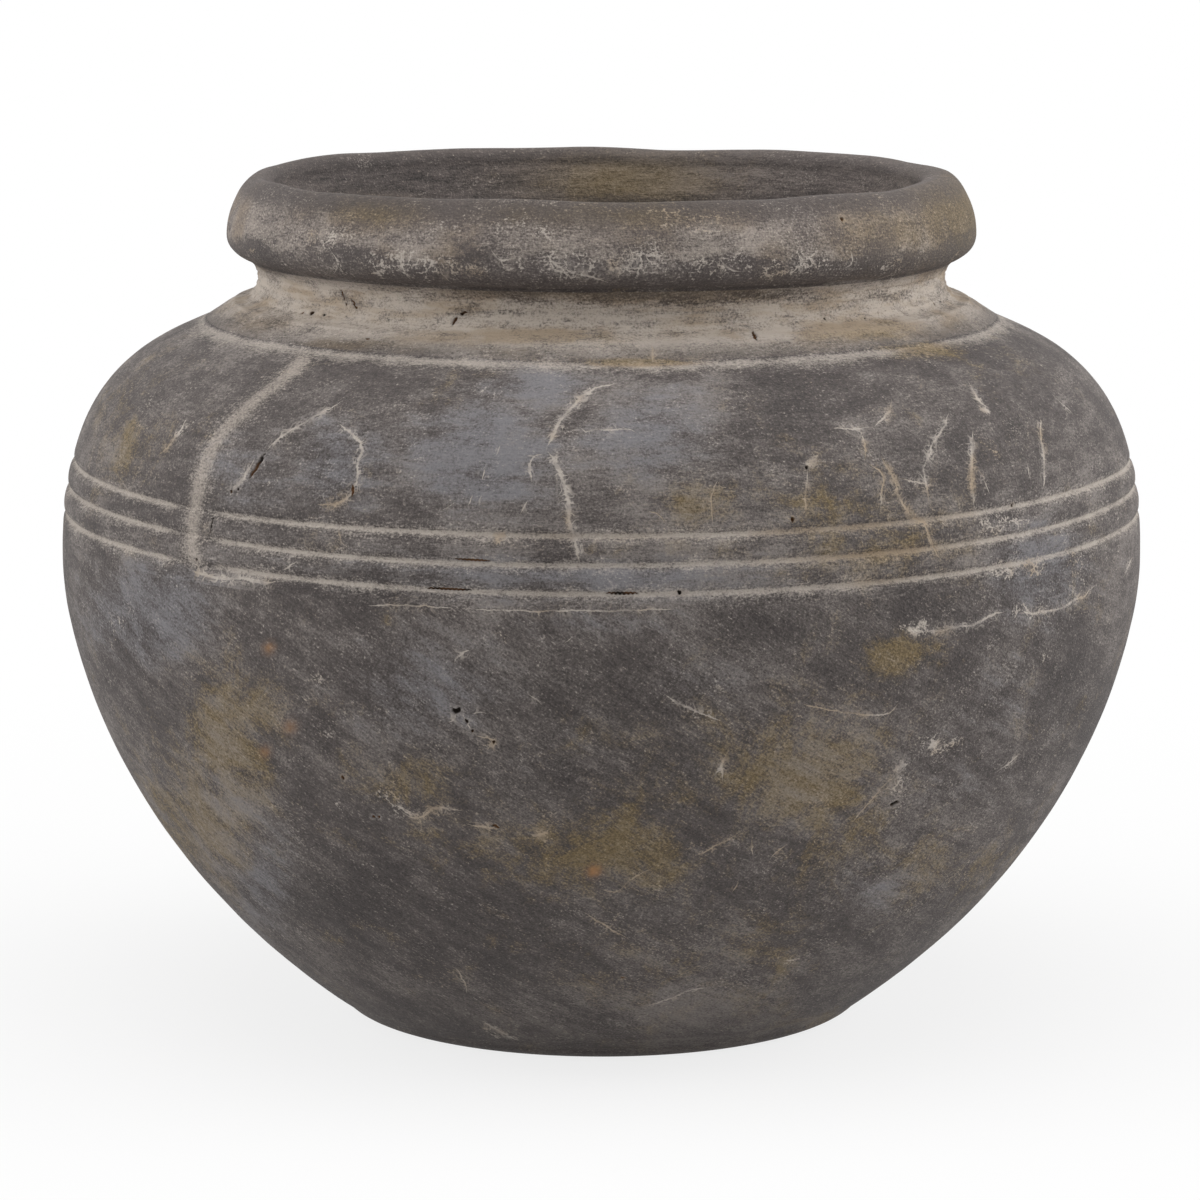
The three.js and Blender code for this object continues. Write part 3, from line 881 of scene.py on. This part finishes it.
LIME = [
    (995, 525, 16, 11, 1), (1018, 523, 16, 11, 1), (1005, 569, 16, 13, 0.9), (1033, 566, 18, 14, 0.9),
    (1028, 610, 16, 9, 0.9), (913, 630, 18, 7, 0.9), (315, 680, 14, 9, 0.6), (1075, 560, 25, 40, 0.5),
    (415, 262, 40, 14, 0.9), (470, 272, 40, 10, 0.8), (560, 265, 45, 16, 0.9), (640, 262, 40, 20, 0.9),
    (735, 258, 30, 14, 0.7), (805, 262, 26, 18, 0.7), (330, 235, 40, 20, 0.6), (330, 268, 30, 10, 0.6),
    (520, 225, 60, 16, 0.6), (680, 222, 70, 16, 0.6), (440, 230, 50, 14, 0.4), (880, 270, 40, 12, 0.5),
    (410, 815, 40, 14, 0.5), (540, 835, 20, 12, 0.6), (935, 745, 26, 14, 0.9), (898, 785, 14, 22, 0.9),
    (490, 745, 30, 10, 0.5), (395, 795, 30, 30, 0.45), (640, 890, 40, 12, 0.4), (700, 850, 40, 14, 0.4),
    (430, 266, 120, 14, 0.7), (640, 266, 150, 14, 0.75), (800, 268, 90, 14, 0.65), (290, 480, 40, 30, 0.35),
    (500, 1030, 30, 10, 0.6), (440, 975, 40, 24, 0.35),
]

SIDE_FADE = 0.25 * BELLY_RADIUS
inside_wall = kept(skin, "row") > crest_row


def facing(points):
    """How much of each point the photograph shows: the near side outside, the far side inside."""
    back, front = ease(points[:, 1], -SIDE_FADE, SIDE_FADE), ease(-points[:, 1], -SIDE_FADE, 0)
    return np.where(inside_wall, back, front)


def painted(ovals):
    """How strongly a set of ovals covers each vertex, with copies on the sides that the photograph hides."""
    cover = np.zeros(len(skin_points))
    hidden = (1 - facing(skin_points)) * ~inside_wall
    for degrees in (0,) + FAR_TURNS_DEG:
        seen_from = turned(skin_points, -degrees)
        across, down = to_photo(seen_from)
        shown = facing(seen_from) * (1 if degrees == 0 else hidden)
        for x, y, half_width, half_height, strength in ovals:
            gap = ((across - x) / half_width) ** 2 + ((down - y) / half_height) ** 2
            cover = np.maximum(cover, strength * np.exp(-gap) * shown)
    return cover


stains_and_painted_light = np.stack([painted(OCHRE), painted(BLOOM_AND_HIGHLIGHT), painted(SOOT_AND_SHADE)], axis=1)
keep(skin, "stains_and_painted_light", stains_and_painted_light)
spots = np.stack([painted(LIME), painted(ORANGE), pit_away], axis=1)
keep(skin, "spots", spots)
print("stain cover", stains_and_painted_light.mean(0).round(3), "spots", spots.mean(0).round(4))

# %% Keep the distance to the grooves, the seams and the collar's crease
LINE_REACH = 20
FILL_DROP = 0.25
LIP_ROWS = 8

row_now = kept(skin, "row")
height = skin_points[:, 2]
azimuth = np.arctan2(skin_points[:, 1], skin_points[:, 0])
travel = walked(rows)
groove_away = np.min([np.abs(groove_gap(height, azimuth, number) + FILL_DROP) for number in range(3)], axis=0)
crease_rise = np.interp(row_now, np.arange(len(rows)), travel) - travel[row_section.index("collar_slip")]
seam_away = smear_gap(skin_points)
lines = np.stack([groove_away, seam_away, crease_rise], axis=1).clip(-LINE_REACH, LINE_REACH)
lines[row_now > crest_row] = LINE_REACH
keep(skin, "lines", lines)
keep(skin, "inside", ease(row_now, crest_row, crest_row + LIP_ROWS))
print("vertices near a scored line", int((groove_away < 2).sum()), "near a seam", int((seam_away < 5).sum()))

# %% [markdown]
# ## Cut the skin into its sections
#
# The jar is really a stack of sections, so the skin is cut along the joint rows and the upright seams. Every
# cut leaves open edges on the outside and the inside. Bridge Edge Loops closes each joint between them, and
# the ends of the two shoulder halves are filled, so that every section is a closed body again.

# %% Label and separate
SEAM_COLUMNS = 2
ROW_GAP = 0.01
NODES = [
    "base_slab", "base_slip", "lower_bowl", "belly_slip", "shoulder_half_front", "shoulder_half_back",
    "seam_strip_left", "seam_strip_right", "collar_slip", "neck_ring", "rim_slip", "rim_coil",
]

mesh = skin.data
starts = read(mesh.polygons, "loop_start", kind=np.int32)
corner_vertex = read(mesh.loops, "vertex_index", kind=np.int32)
lowest_row = np.floor(np.minimum.reduceat(row_now[corner_vertex], starts) + ROW_GAP).astype(int)
centre = read(mesh.polygons, "center", 3)
round_from_seam = (np.arctan2(centre[:, 1], centre[:, 0]) - seam) % math.tau
column = round_from_seam / math.tau * COLUMNS
half = COLUMNS / 2
at_left_seam = np.minimum(column, COLUMNS - column) < SEAM_COLUMNS
at_right_seam = np.abs(column - half) < SEAM_COLUMNS

label = np.empty(len(centre), np.int32)
for section in set(row_section):
    faces = np.array(row_section)[lowest_row] == section
    if section == "shoulder":
        label[faces & (column < half)] = NODES.index("shoulder_half_front")
        label[faces & (column > half)] = NODES.index("shoulder_half_back")
        label[faces & at_left_seam] = NODES.index("seam_strip_left")
        label[faces & at_right_seam] = NODES.index("seam_strip_right")
    else:
        label[faces] = NODES.index(section)
layer = mesh.attributes.new("section", "INT", "FACE")
layer.data.foreach_set("value", label)

pieces = {}
for number, node in enumerate(NODES[:-1]):
    label = read(skin.data.attributes["section"].data, "value", kind=np.int32)
    select_only(skin, "FACE", label == number)
    bpy.ops.mesh.separate(type="SELECTED")
    bpy.ops.object.mode_set(mode="OBJECT")
    pieces[node] = next(piece for piece in bpy.context.selected_objects if piece is not skin)
pieces[NODES[-1]] = skin
for node, piece in pieces.items():
    piece.name = node + "_skin"
    piece.data.name = node + "_skin"
print({node: len(piece.data.polygons) for node, piece in pieces.items()})

# %% Close every section
SHARP_DEG = 50


def open_edges(piece):
    """The edges that belong to one face only."""
    edge_of = read(piece.data.loops, "edge_index", kind=np.int32)
    return np.bincount(edge_of, minlength=len(piece.data.edges)) == 1


def edges_on_row(piece, row):
    """The edges that run along one row."""
    ends = read(piece.data.edges, "vertices", 2, np.int32)
    return (np.abs(kept(piece, "row")[ends] - row) < ROW_GAP).all(axis=1)


for node, piece in pieces.items():
    for outer_row, inner_row in joints:
        outer = open_edges(piece) & edges_on_row(piece, outer_row)
        inner = open_edges(piece) & edges_on_row(piece, inner_row)
        if outer.any() and inner.any():
            select_only(piece, "EDGE", outer | inner)
            bpy.ops.mesh.bridge_edge_loops()
            bpy.ops.object.mode_set(mode="OBJECT")
    select_only(piece, "EDGE", open_edges(piece))
    bpy.ops.mesh.fill_holes(sides=0)
    bpy.ops.mesh.select_all(action="SELECT")
    bpy.ops.mesh.normals_make_consistent(inside=False)
    bpy.ops.object.mode_set(mode="OBJECT")
    bpy.ops.object.shade_smooth_by_angle(angle=math.radians(SHARP_DEG))
    print(node, "open edges left", int(open_edges(piece).sum()))

# %% [markdown]
# ## Finishes
#
# Unglazed, smoke-fired clay is matt, and its colour changes at every scale: broad clouds of smoke, flecks as
# fine as hair, hairline cracks and lime in every hollow. A picture wrapped round the jar would stretch and
# show its seam, so the clay is worked out from the place on the jar, with the painted layers on top. A small
# class lets the sums be written as plain arithmetic.

# %% Sums on sockets


class Amount:
    """A number that varies over the clay. Arithmetic on it adds Math nodes."""

    def __init__(self, finish, socket):
        self.finish = finish
        self.socket = socket

    def math(self, operation, first, second=0.0):
        return self.finish.node("ShaderNodeMath", {"operation": operation}, {0: first, 1: second})

    def __add__(self, other):
        return self.math("ADD", self, other)

    def __sub__(self, other):
        return self.math("SUBTRACT", self, other)

    def __rsub__(self, other):
        return self.math("SUBTRACT", other, self)

    def __mul__(self, other):
        return self.math("MULTIPLY", self, other)

    def __truediv__(self, other):
        return self.math("DIVIDE", self, other)

    def __abs__(self):
        return self.math("ABSOLUTE", self)

    def either(self, other):
        return self.math("MAXIMUM", self, other)

    __radd__ = __add__
    __rmul__ = __mul__


class Finish:
    """The nodes of one finish."""

    def __init__(self, owner):
        owner.use_nodes = True
        self.owner = owner
        self.tree = owner.node_tree

    def pick(self, sockets, key):
        if isinstance(key, int):
            return sockets[key]
        return next(socket for socket in sockets if socket.enabled and key in ("", socket.name))

    def plug(self, socket, value):
        if isinstance(value, Amount):
            self.tree.links.new(value.socket, socket)
        elif socket.type == "RGBA":
            socket.default_value = (*value, 1)
        else:
            socket.default_value = value

    def node(self, kind, settings=None, sockets=None, output=""):
        """Adds a node: its settings first, then the values or links of its sockets."""
        node = self.tree.nodes.new(kind)
        for name, value in (settings or {}).items():
            setattr(node, name, value)
        for key, value in (sockets or {}).items():
            self.plug(self.pick(node.inputs, key), value)
        return Amount(self, self.pick(node.outputs, output))

    def step(self, value, low, high, start=0.0, end=1.0):
        """A soft step from start to end as a value goes from low to high."""
        sockets = {"Value": value, "From Min": low, "From Max": high, "To Min": start, "To Max": end}
        return self.node("ShaderNodeMapRange", {"interpolation_type": "SMOOTHSTEP"}, sockets)

    def mix(self, colour, other, share):
        return self.node("ShaderNodeMix", {"data_type": "RGBA"}, {"Factor": share, "A": colour, "B": other})

    def shade(self, colour, brightness):
        """A colour made lighter or darker by a number."""
        sockets = {"Vector": colour, "Scale": brightness}
        return self.node("ShaderNodeVectorMath", {"operation": "SCALE"}, sockets)


print("sockets take + - * / and abs")

# %% Layers of clay


class Clay(Finish):
    """A finish with the layers that every part of the jar shares."""

    def __init__(self, name, fleck, tilt):
        super().__init__(bpy.data.materials.new(name))
        self.place = self.node("ShaderNodeTexCoord", output="Object")
        self.height = self.node("ShaderNodeSeparateXYZ", {}, {"Vector": self.place}, "Z") / MM
        self.inside = self.node("ShaderNodeAttribute", {"attribute_name": "inside"}, output="Fac")
        self.ochre, self.bloom, self.soot_and_shade = self.painted("stains_and_painted_light")
        self.wiped = (self.noise(16, 33.0, 4, 0.75, 7) - 0.5) * self.inside
        brushed = self.noise(2.4, 2.3, 3, 0.75, 4, tilt=tilt)
        self.grain = (self.noise(0.8, 1.3, 1, 0.8) * 0.5 + brushed * 0.5 - 0.5) * fleck

    def painted(self, name):
        """The three numbers painted in one layer."""
        layer = self.node("ShaderNodeAttribute", {"attribute_name": name}, output="Vector")
        return [self.node("ShaderNodeSeparateXYZ", {}, {"Vector": layer}, axis) for axis in "XYZ"]

    def moved(self, seed, flat=1.0, tilt=0.0):
        """Another place on the jar, tilted and then flattened, so that marks lie in strokes."""
        sockets = {
            "Vector": self.place, "Location": (seed, 0.7 * seed, 0.3 * seed),
            "Scale": (1, 1, 1 / flat), "Rotation": (0, math.radians(tilt), 0),
        }
        return self.node("ShaderNodeMapping", {"vector_type": "TEXTURE"}, sockets)

    def noise(self, size, seed, detail=2.0, rough=0.55, flat=1.0, bend=0.0, tilt=0.0):
        """Cloudy noise with features of a size in millimetres."""
        sockets = {
            "Vector": self.moved(seed, flat, tilt), "Scale": 1 / (size * MM),
            "Detail": detail, "Roughness": rough, "Distortion": bend,
        }
        return self.node("ShaderNodeTexNoise", {}, sockets)

    def crackle(self, size, seed, width):
        """Thin broken lines between cells, as a lime skin cracks."""
        sockets = {"Vector": self.place, "Scale": 2.2 / (size * MM)}
        shift = self.node("ShaderNodeTexNoise", {}, sockets, "Color")
        bent = self.shade(shift, 0.6 * size * MM)
        place = self.node("ShaderNodeVectorMath", {"operation": "ADD"}, {0: self.moved(seed), 1: bent})
        sockets = {"Vector": place, "Scale": 1 / (size * MM)}
        away = self.node("ShaderNodeTexVoronoi", {"feature": "DISTANCE_TO_EDGE"}, sockets, "Distance")
        return self.step(away, width / size, 0.2 * width / size)

    def hairs(self, size, seed, width, bend=0.6):
        """Thin wandering lines: the places where a noise crosses its middle."""
        return self.step(abs(self.noise(size, seed, 1, 0.5, bend=bend) - 0.5), width, 0.3 * width)

    def dusted(self, share, low, high):
        """A soft share broken up into grains."""
        return self.step(share + self.grain * 1.8, low, high)


print("clay layers ready")

# %% [markdown]
# ### Smoke, iron and dust
#
# Under everything lies the clay, black-brown where the smoke was thick and warmer where it was thin. Iron
# comes through in olive clouds. Lime dust lies over both in wiped strokes, so thin that only its grains show,
# and it looks bluish where it is thickest. The grains are one fine noise that every dusty layer shares.

# %% Smoke, iron and dust
# The smoked clay's colour, which the rim's finish also uses as painted shade under its bulge.
SMOKED_AND_SHADE = (0.052, 0.043, 0.041)
BROWN = (0.110, 0.094, 0.087)
EARTH = (0.165, 0.117, 0.050)
WARM_DUST = (0.265, 0.238, 0.221)
COOL_DUST = (0.225, 0.223, 0.240)


def fired_clay(clay, tilt, dust):
    """The clouded colour of the clay, and how dusty each place is."""
    ochre, bloom, soot_and_shade = clay.ochre, clay.bloom, clay.soot_and_shade
    broad = clay.noise(80, 3.1, 2, 0.6)
    patch = clay.noise(22, 7.7, 3, 0.65, bend=0.5)
    stroke = clay.noise(22, 5.2, 3, 0.7, 4, tilt=tilt)
    cloud = broad * 0.3 + patch * 0.3 + stroke * 0.4 - soot_and_shade * 0.1
    colour = clay.mix(SMOKED_AND_SHADE, BROWN, clay.step(cloud, 0.36, 0.62))
    iron = ochre * 1.3 + (clay.noise(26, 12.4, 5, 0.75, bend=0.8) - 0.5) * 2.8 + (patch - 0.5) * 1.2
    colour = clay.mix(colour, EARTH, clay.dusted(iron, 0.25, 1.05) * 0.75)
    # The soot layer darkens the clay, and in the band under the rim this darkening is painted shade.
    colour = clay.shade(colour, clay.grain * 2.8 + 1 - soot_and_shade * 0.3 + clay.wiped * 2.5)
    # Bloom adds pale dust. Near the jar's right edge it is also a painted highlight.
    dusty = clay.step(cloud + bloom * 0.08 + clay.wiped * 0.5, 0.37, 0.75) * (1 - soot_and_shade * 0.6) * dust
    dusty = dusty + bloom * patch * 0.45
    tint = clay.mix(WARM_DUST, COOL_DUST, clay.step(bloom - ochre + stroke, 0.6, 1.1))
    hair = clay.hairs(2.4, 21.0, 0.04) * clay.step(clay.noise(3.0, 9.5, 1), 0.48, 0.6)
    cover = clay.dusted(dusty, 0.1, 1.0) * 0.62
    return clay.mix(colour, tint, cover.either(hair * (dusty * 0.4 + 0.12))), dusty


print("smoke, iron and dust ready")

# %% [markdown]
# ### Cracks and lime
#
# A crack shows where the painted distance is smaller than the painted width. Noise bends it and breaks it,
# and dust gathers beside it. A loose net of finer hairlines shows only where the clay took up lime.

# %% Cracks and lime
CHALK = (0.50, 0.445, 0.39)
SAND = (0.34, 0.255, 0.165)


def crack_lines(clay):
    """The pale crack lines, ragged and broken, and the dust beside them."""
    wobble = (clay.noise(7, 15.0, 3, 0.7) - 0.5) * 3.0
    lines = dust = 0.0
    for layer in range(CRACK_LAYERS):
        offset, width = clay.painted(f"crack_{layer}")[:2]
        away = abs(offset + wobble * clay.step(width, 0, 1))
        lines = (1 - away / (width * 0.6 + 0.01)).either(lines)
        dust = (clay.step(away, 4, 0) * clay.step(width, 0.1, 1.6)).either(dust)
    worn = clay.step(clay.noise(6, 19.0, 2), 0.36, 0.56, 0.45, 1)
    twigs = clay.hairs(5, 23.0, 0.05, 1.2) * dust * 1.2
    return clay.dusted(lines, 0.1, 0.7).either(twigs) * worn, dust


def lime_net(clay, richness):
    """A broken net of lime lines, where the clay took up lime."""
    net = clay.crackle(9, 51.0, 0.8).either(clay.crackle(4.6, 57.0, 0.5) * 0.8)
    broken = clay.step(richness + (clay.noise(9, 61.0, 4, 0.8) - 0.5) * 2.6, 0.2, 0.9)
    return clay.step(net * broken + clay.grain * 3, 0.3, 1.0) * (1 - clay.inside)


print("cracks and lime ready")

# %% [markdown]
# ### Scored lines and seams
#
# Slip and lime stayed in the three grooves, in the crease under the collar and along the upright seams. Each
# one is a thin core with dust fading out on both sides, drawn from a painted distance like the cracks.

# %% Scored lines and seams
WIPED = (0.515, 0.45, 0.388)
SEAM_STARTS = (183, 192)
SEAM_ENDS = (263, 256)


def scored_lines(clay, colour):
    """Pale fill in the grooves, the collar's crease and the seams, chalky or sandy by turns."""
    groove, seam_away, crease = clay.painted("lines")
    run = clay.noise(30, 97.0, 2)
    tint = clay.mix(CHALK, SAND, clay.step(run * 0.6 + clay.ochre, 0.42, 0.8, 0, 0.85))
    bare = (clay.noise(11, 91.0, 3) - 0.5) * 1.1
    groove = groove + bare * 0.8
    filled = clay.step(groove, 1.3, 0.2) * 0.45 + clay.step(groove, 5, 0.3) * 0.45
    filled = filled * clay.step(seam_away, 2, 19, 0.45, 1)
    colour = clay.mix(colour, tint, clay.dusted(filled + bare, 0.2, 1.05) * 0.75)
    washed = clay.step(crease, -10, 0) * clay.step(crease, 4, 0.5) * 0.6
    washed = washed + clay.step(abs(crease), 2.6, 0.2) * 0.15
    colour = clay.mix(colour, tint, clay.dusted(washed + bare, 0.15, 1.0) * 0.6)
    reach = clay.step(clay.height, *SEAM_STARTS) * clay.step(clay.height, *SEAM_ENDS)
    smear = clay.step(seam_away + bare * 4, 5, 1) * 0.3 + clay.step(seam_away, 14, 1) * 0.5
    return clay.mix(colour, WIPED, clay.dusted((smear + bare * 0.6) * reach, 0.2, 1.0) * 0.5)


print("scored lines and seams ready")

# %% [markdown]
# ### Marks on the clay
#
# The marks go on in the order in which the jar got them: fill in the scored lines, then cracks, lime, rust
# spots and open pits, whose hollows are painted almost black as painted shade, with rust in some. Their
# relief is a slight bump, because the larger forms are already in the mesh.

# %% Marks on the clay
ORANGE_CLAY = (0.36, 0.175, 0.06)
HOLE_SHADE = (0.014, 0.009, 0.006)
RUST = (0.17, 0.075, 0.025)


def marks(clay, colour):
    """Scored lines, cracks, lime, rust spots and pits, in that order, and their relief."""
    lime, orange, pit_away = clay.painted("spots")
    colour = scored_lines(clay, colour)
    lines, dust = crack_lines(clay)
    net = lime_net(clay, lime + clay.step(clay.noise(32, 53.0, 2), 0.6, 0.75, 0, 0.4))
    ringed = clay.step(pit_away, 4, 1.2, 0, 0.8)
    sandy = clay.step(clay.noise(22, 65.0, 2) + clay.ochre * 0.5, 0.48, 0.68, 0, 0.8)
    halo = clay.dusted(dust.either(lime * 0.8).either(ringed), 0.35, 1.1) * 0.55
    colour = clay.mix(colour, clay.mix(WARM_DUST, SAND, sandy), halo)
    chalk = clay.mix(CHALK, SAND, sandy)
    colour = clay.mix(colour, chalk, lines * 0.7)
    colour = clay.mix(colour, chalk, net * 0.7)
    colour = clay.mix(colour, ORANGE_CLAY, orange)
    # Pits are painted almost black, partly rusty: painted shade in the hollows.
    pit_shade_and_rust = clay.mix(HOLE_SHADE, RUST, clay.step(clay.noise(9, 67.0, 1), 0.42, 0.58, 0, 0.8))
    colour = clay.mix(colour, pit_shade_and_rust, clay.step(pit_away, 1.05, 0.75, 0, 0.95))
    return colour, clay.grain * 1.6 - lines * 0.5 + net * 0.12


print("marks ready")

# %% [markdown]
# ### Neck and rim
#
# The neck is wiped pale with wet slip in level strokes, and the rim is dusted on its face and worn dark along
# its crown. Just under the rim's overhang the neck's wash fades out and the rim's lower part is darkened:
# painted shade, mixed with soot on the neck. All of these are laid on by height above the floor, because the
# strokes run level round the jar.

# %% Neck and rim: the heights between which each layer comes in or fades out
RIM_BROWN = (0.135, 0.111, 0.102)
NECK_STARTS = (259.5, 270)
NECK_WASH_ENDS_IN_RIM_SHADE = (284, 277)
FACE_STARTS = (287, 296)
FACE_ENDS = (309, 303)
SHADE_UNDER_FACE = (296, 292)
CROWN_STARTS = (304, 310)


def wiped_neck(clay, colour):
    """Wet slip wiped round the neck above the collar, in level strokes, fading into painted shade and soot
    under the rim.
    """
    ochre, soot_and_shade = clay.ochre, clay.soot_and_shade
    stroke = clay.noise(40, 81.0, 4, 0.7, 16)
    worn = clay.noise(14, 83.0, 3, 0.65, 2.5)
    # The wash fades out just under the rim's overhang: painted shade.
    above = clay.step(clay.height, *NECK_STARTS, 0.1, 1) * clay.step(clay.height, *NECK_WASH_ENDS_IN_RIM_SHADE, 0.3, 1)
    share = clay.dusted(stroke * 0.9 + worn * 1.2 - soot_and_shade * 0.9, 0.4, 1.2) * above * (1 - clay.inside)
    sandy = clay.step(clay.noise(30, 85.0, 3, 0.6, 4) + ochre * 0.5 + soot_and_shade * 0.4, 0.48, 0.75, 0, 0.75)
    colour = clay.mix(colour, SAND, soot_and_shade * 0.3)
    return clay.mix(colour, clay.mix(WIPED, SAND, sandy), share), stroke


def dusted_rim(clay, colour):
    """Pale dust on the rim's face, painted shade on its lower part under the bulge, and a dark crown."""
    ochre, soot_and_shade = clay.ochre, clay.soot_and_shade
    patch = clay.noise(20, 87.0, 5, 0.75, 2.2)
    brown = clay.mix(RIM_BROWN, EARTH, ochre * 0.7)
    lit = clay.wiped * 2.5 + ochre * clay.inside * 0.35
    colour = clay.mix(colour, clay.shade(brown, clay.grain * 2 + 1 - soot_and_shade * 0.3 + lit), 0.6)
    face = clay.step(clay.height, *FACE_STARTS, 0.4, 1) * clay.step(clay.height, *FACE_ENDS, 0.1, 1)
    face = face * (1 - clay.inside)
    sandy = clay.mix(WIPED, SAND, clay.step(clay.noise(26, 88.0, 2) + ochre * 0.4, 0.45, 0.65, 0, 0.8))
    # The rim's lower part, under its bulge, is darkened with the smoked colour: painted shade.
    under = clay.step(clay.height + (patch - 0.5) * 30, *SHADE_UNDER_FACE, 0, 0.42)
    crown = clay.step(clay.height, *CROWN_STARTS, 0, 0.45)
    colour = clay.mix(colour, SMOKED_AND_SHADE, under.either(crown))
    veil = clay.dusted((patch - 0.5) * 2 + 0.5 - ochre * 0.5 - under * 0.6, 0.05, 1.0)
    return clay.mix(colour, sandy, veil * face * 0.5)


print("neck and rim ready")

# %% [markdown]
# ### One recipe for all the clay
#
# Every section is the same clay, so one recipe serves them all and the clouds run on across the joints. The
# roughness stays high, because nothing on the jar shines.

# %% The recipe
BUMP_HEIGHT = 0.35
SPECULAR = 0.35
SMOOTHEST, ROUGHEST = 0.76, 0.92


def complete(clay, colour, rough, relief):
    """Joins the colour, roughness and relief to the shader."""
    shader = clay.tree.nodes["Principled BSDF"]
    shader.inputs["Specular IOR Level"].default_value = SPECULAR
    sockets = {"Height": relief, "Strength": 1.0, "Distance": BUMP_HEIGHT * MM}
    clay.plug(shader.inputs["Base Color"], colour)
    clay.plug(shader.inputs["Roughness"], rough)
    clay.plug(shader.inputs["Normal"], clay.node("ShaderNodeBump", {}, sockets))
    return clay.owner


def clay_finish(name, dress="", fleck=1.0, tilt=0.0, dust=1.0):
    """Smoke-fired clay, with a dressing of its own where a section has one."""
    clay = Clay(name, fleck, tilt)
    colour, dusty = fired_clay(clay, tilt, dust)
    relief = clay.noise(8, 73.0, 2, 0.6) * 0.7
    if dress == "wiped":
        colour, stroke = wiped_neck(clay, colour)
        relief = relief + stroke * 0.9
    if dress == "dusted":
        colour = dusted_rim(clay, colour)
    colour, raised = marks(clay, colour)
    return complete(clay, colour, clay.step(dusty, 0, 1, SMOOTHEST, ROUGHEST), relief + raised)


FINISHES = {
    "base_clay": clay_finish("base_clay"),
    "bowl_clay": clay_finish("bowl_clay", tilt=33, dust=0.82),
    "shoulder_clay": clay_finish("shoulder_clay"),
    "neck_clay": clay_finish("neck_clay", "wiped"),
    "rim_clay": clay_finish("rim_clay", "dusted", 1.1),
    "slip": clay_finish("slip"),
}
print({name: len(material.node_tree.nodes) for name, material in FINISHES.items()})

# %% [markdown]
# ## Dress the sections
#
# Each section takes the finish of its slot, stands in for its plain solid and rides on the jar's one body.

# %% Dress the sections
record_slot = {part["node"]: part["material_slot"] for part in frame["record"]["subparts"]}
for node, piece in pieces.items():
    piece.data.materials.clear()
    piece.data.materials.append(FINISHES[record_slot[node]])
    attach(piece, "root")
    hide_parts(node)
print("dressed", sorted(pieces))

# %% [markdown]
# ## Floor and light
#
# The jar stands on a pale floor under large soft lamps. The background is white to the camera, but lights the
# jar as a plain grey, so that the clay renders about as it is written. The floor fades to white away from the
# jar and keeps the jar's soft shadow.

# %% Floor
FLOOR_SIZE = 12.0
FLOOR_GREY = (0.8, 0.8, 0.8)
SHADOW_REACH = (0.15, 0.75)
WHITE = (1, 1, 1)

bpy.ops.object.select_all(action="DESELECT")
bpy.ops.mesh.primitive_plane_add(size=FLOOR_SIZE)
floor = bpy.context.object
floor.name = "floor"


def seen_straight(finish):
    """Whether a ray comes from the camera, straight or by way of a mirror or a glass."""
    rays = [finish.node("ShaderNodeLightPath", output=kind)
            for kind in ("Is Camera Ray", "Is Glossy Ray", "Is Transmission Ray")]
    return rays[0].either(rays[1]).either(rays[2])


paper = Finish(bpy.data.materials.new("paper_floor"))
spot = paper.node("ShaderNodeTexCoord", output="Object")
away = paper.node("ShaderNodeVectorMath", {"operation": "LENGTH"}, {0: spot}, "Value")
glow = paper.node("ShaderNodeEmission", {}, {"Color": WHITE, "Strength": 1.0})
matt = paper.node("ShaderNodeBsdfDiffuse", {}, {"Color": FLOOR_GREY})
share = seen_straight(paper) * paper.step(away, *SHADOW_REACH, 0.8, 1.0)
blend = paper.node("ShaderNodeMixShader", {}, {0: share, 1: matt, 2: glow})
paper.plug(paper.tree.nodes["Material Output"].inputs["Surface"], blend)
floor.data.materials.append(paper.owner)
print("floor", FLOOR_SIZE, "m")

# %% Lamps and background
LAMPS = {
    "overhead": ((0.0, -0.5, 2.2), 2.2, 30.0),
    "left": ((-1.8, -0.1, 0.9), 1.4, 17.0),
    "right": ((1.8, 0.0, 0.9), 1.4, 21.5),
}
BACKGROUND_GREY = (0.42, 0.42, 0.42)
LAMP_TARGET = Vector((0, 0, 0.18))

for name, (place, size, power) in LAMPS.items():
    aim = (LAMP_TARGET - Vector(place)).to_track_quat("-Z", "Y").to_euler()
    bpy.ops.object.light_add(type="AREA", location=place, rotation=aim)
    lamp = bpy.context.object
    lamp.name = name + "_lamp"
    lamp.data.size = size
    lamp.data.energy = power

world = bpy.data.worlds.new("studio")
bpy.context.scene.world = world
studio = Finish(world)
colour = studio.mix(BACKGROUND_GREY, WHITE, seen_straight(studio))
studio.plug(studio.tree.nodes["Background"].inputs["Color"], colour)
bpy.context.scene.view_settings.view_transform = "Standard"
print("lamps", list(LAMPS))
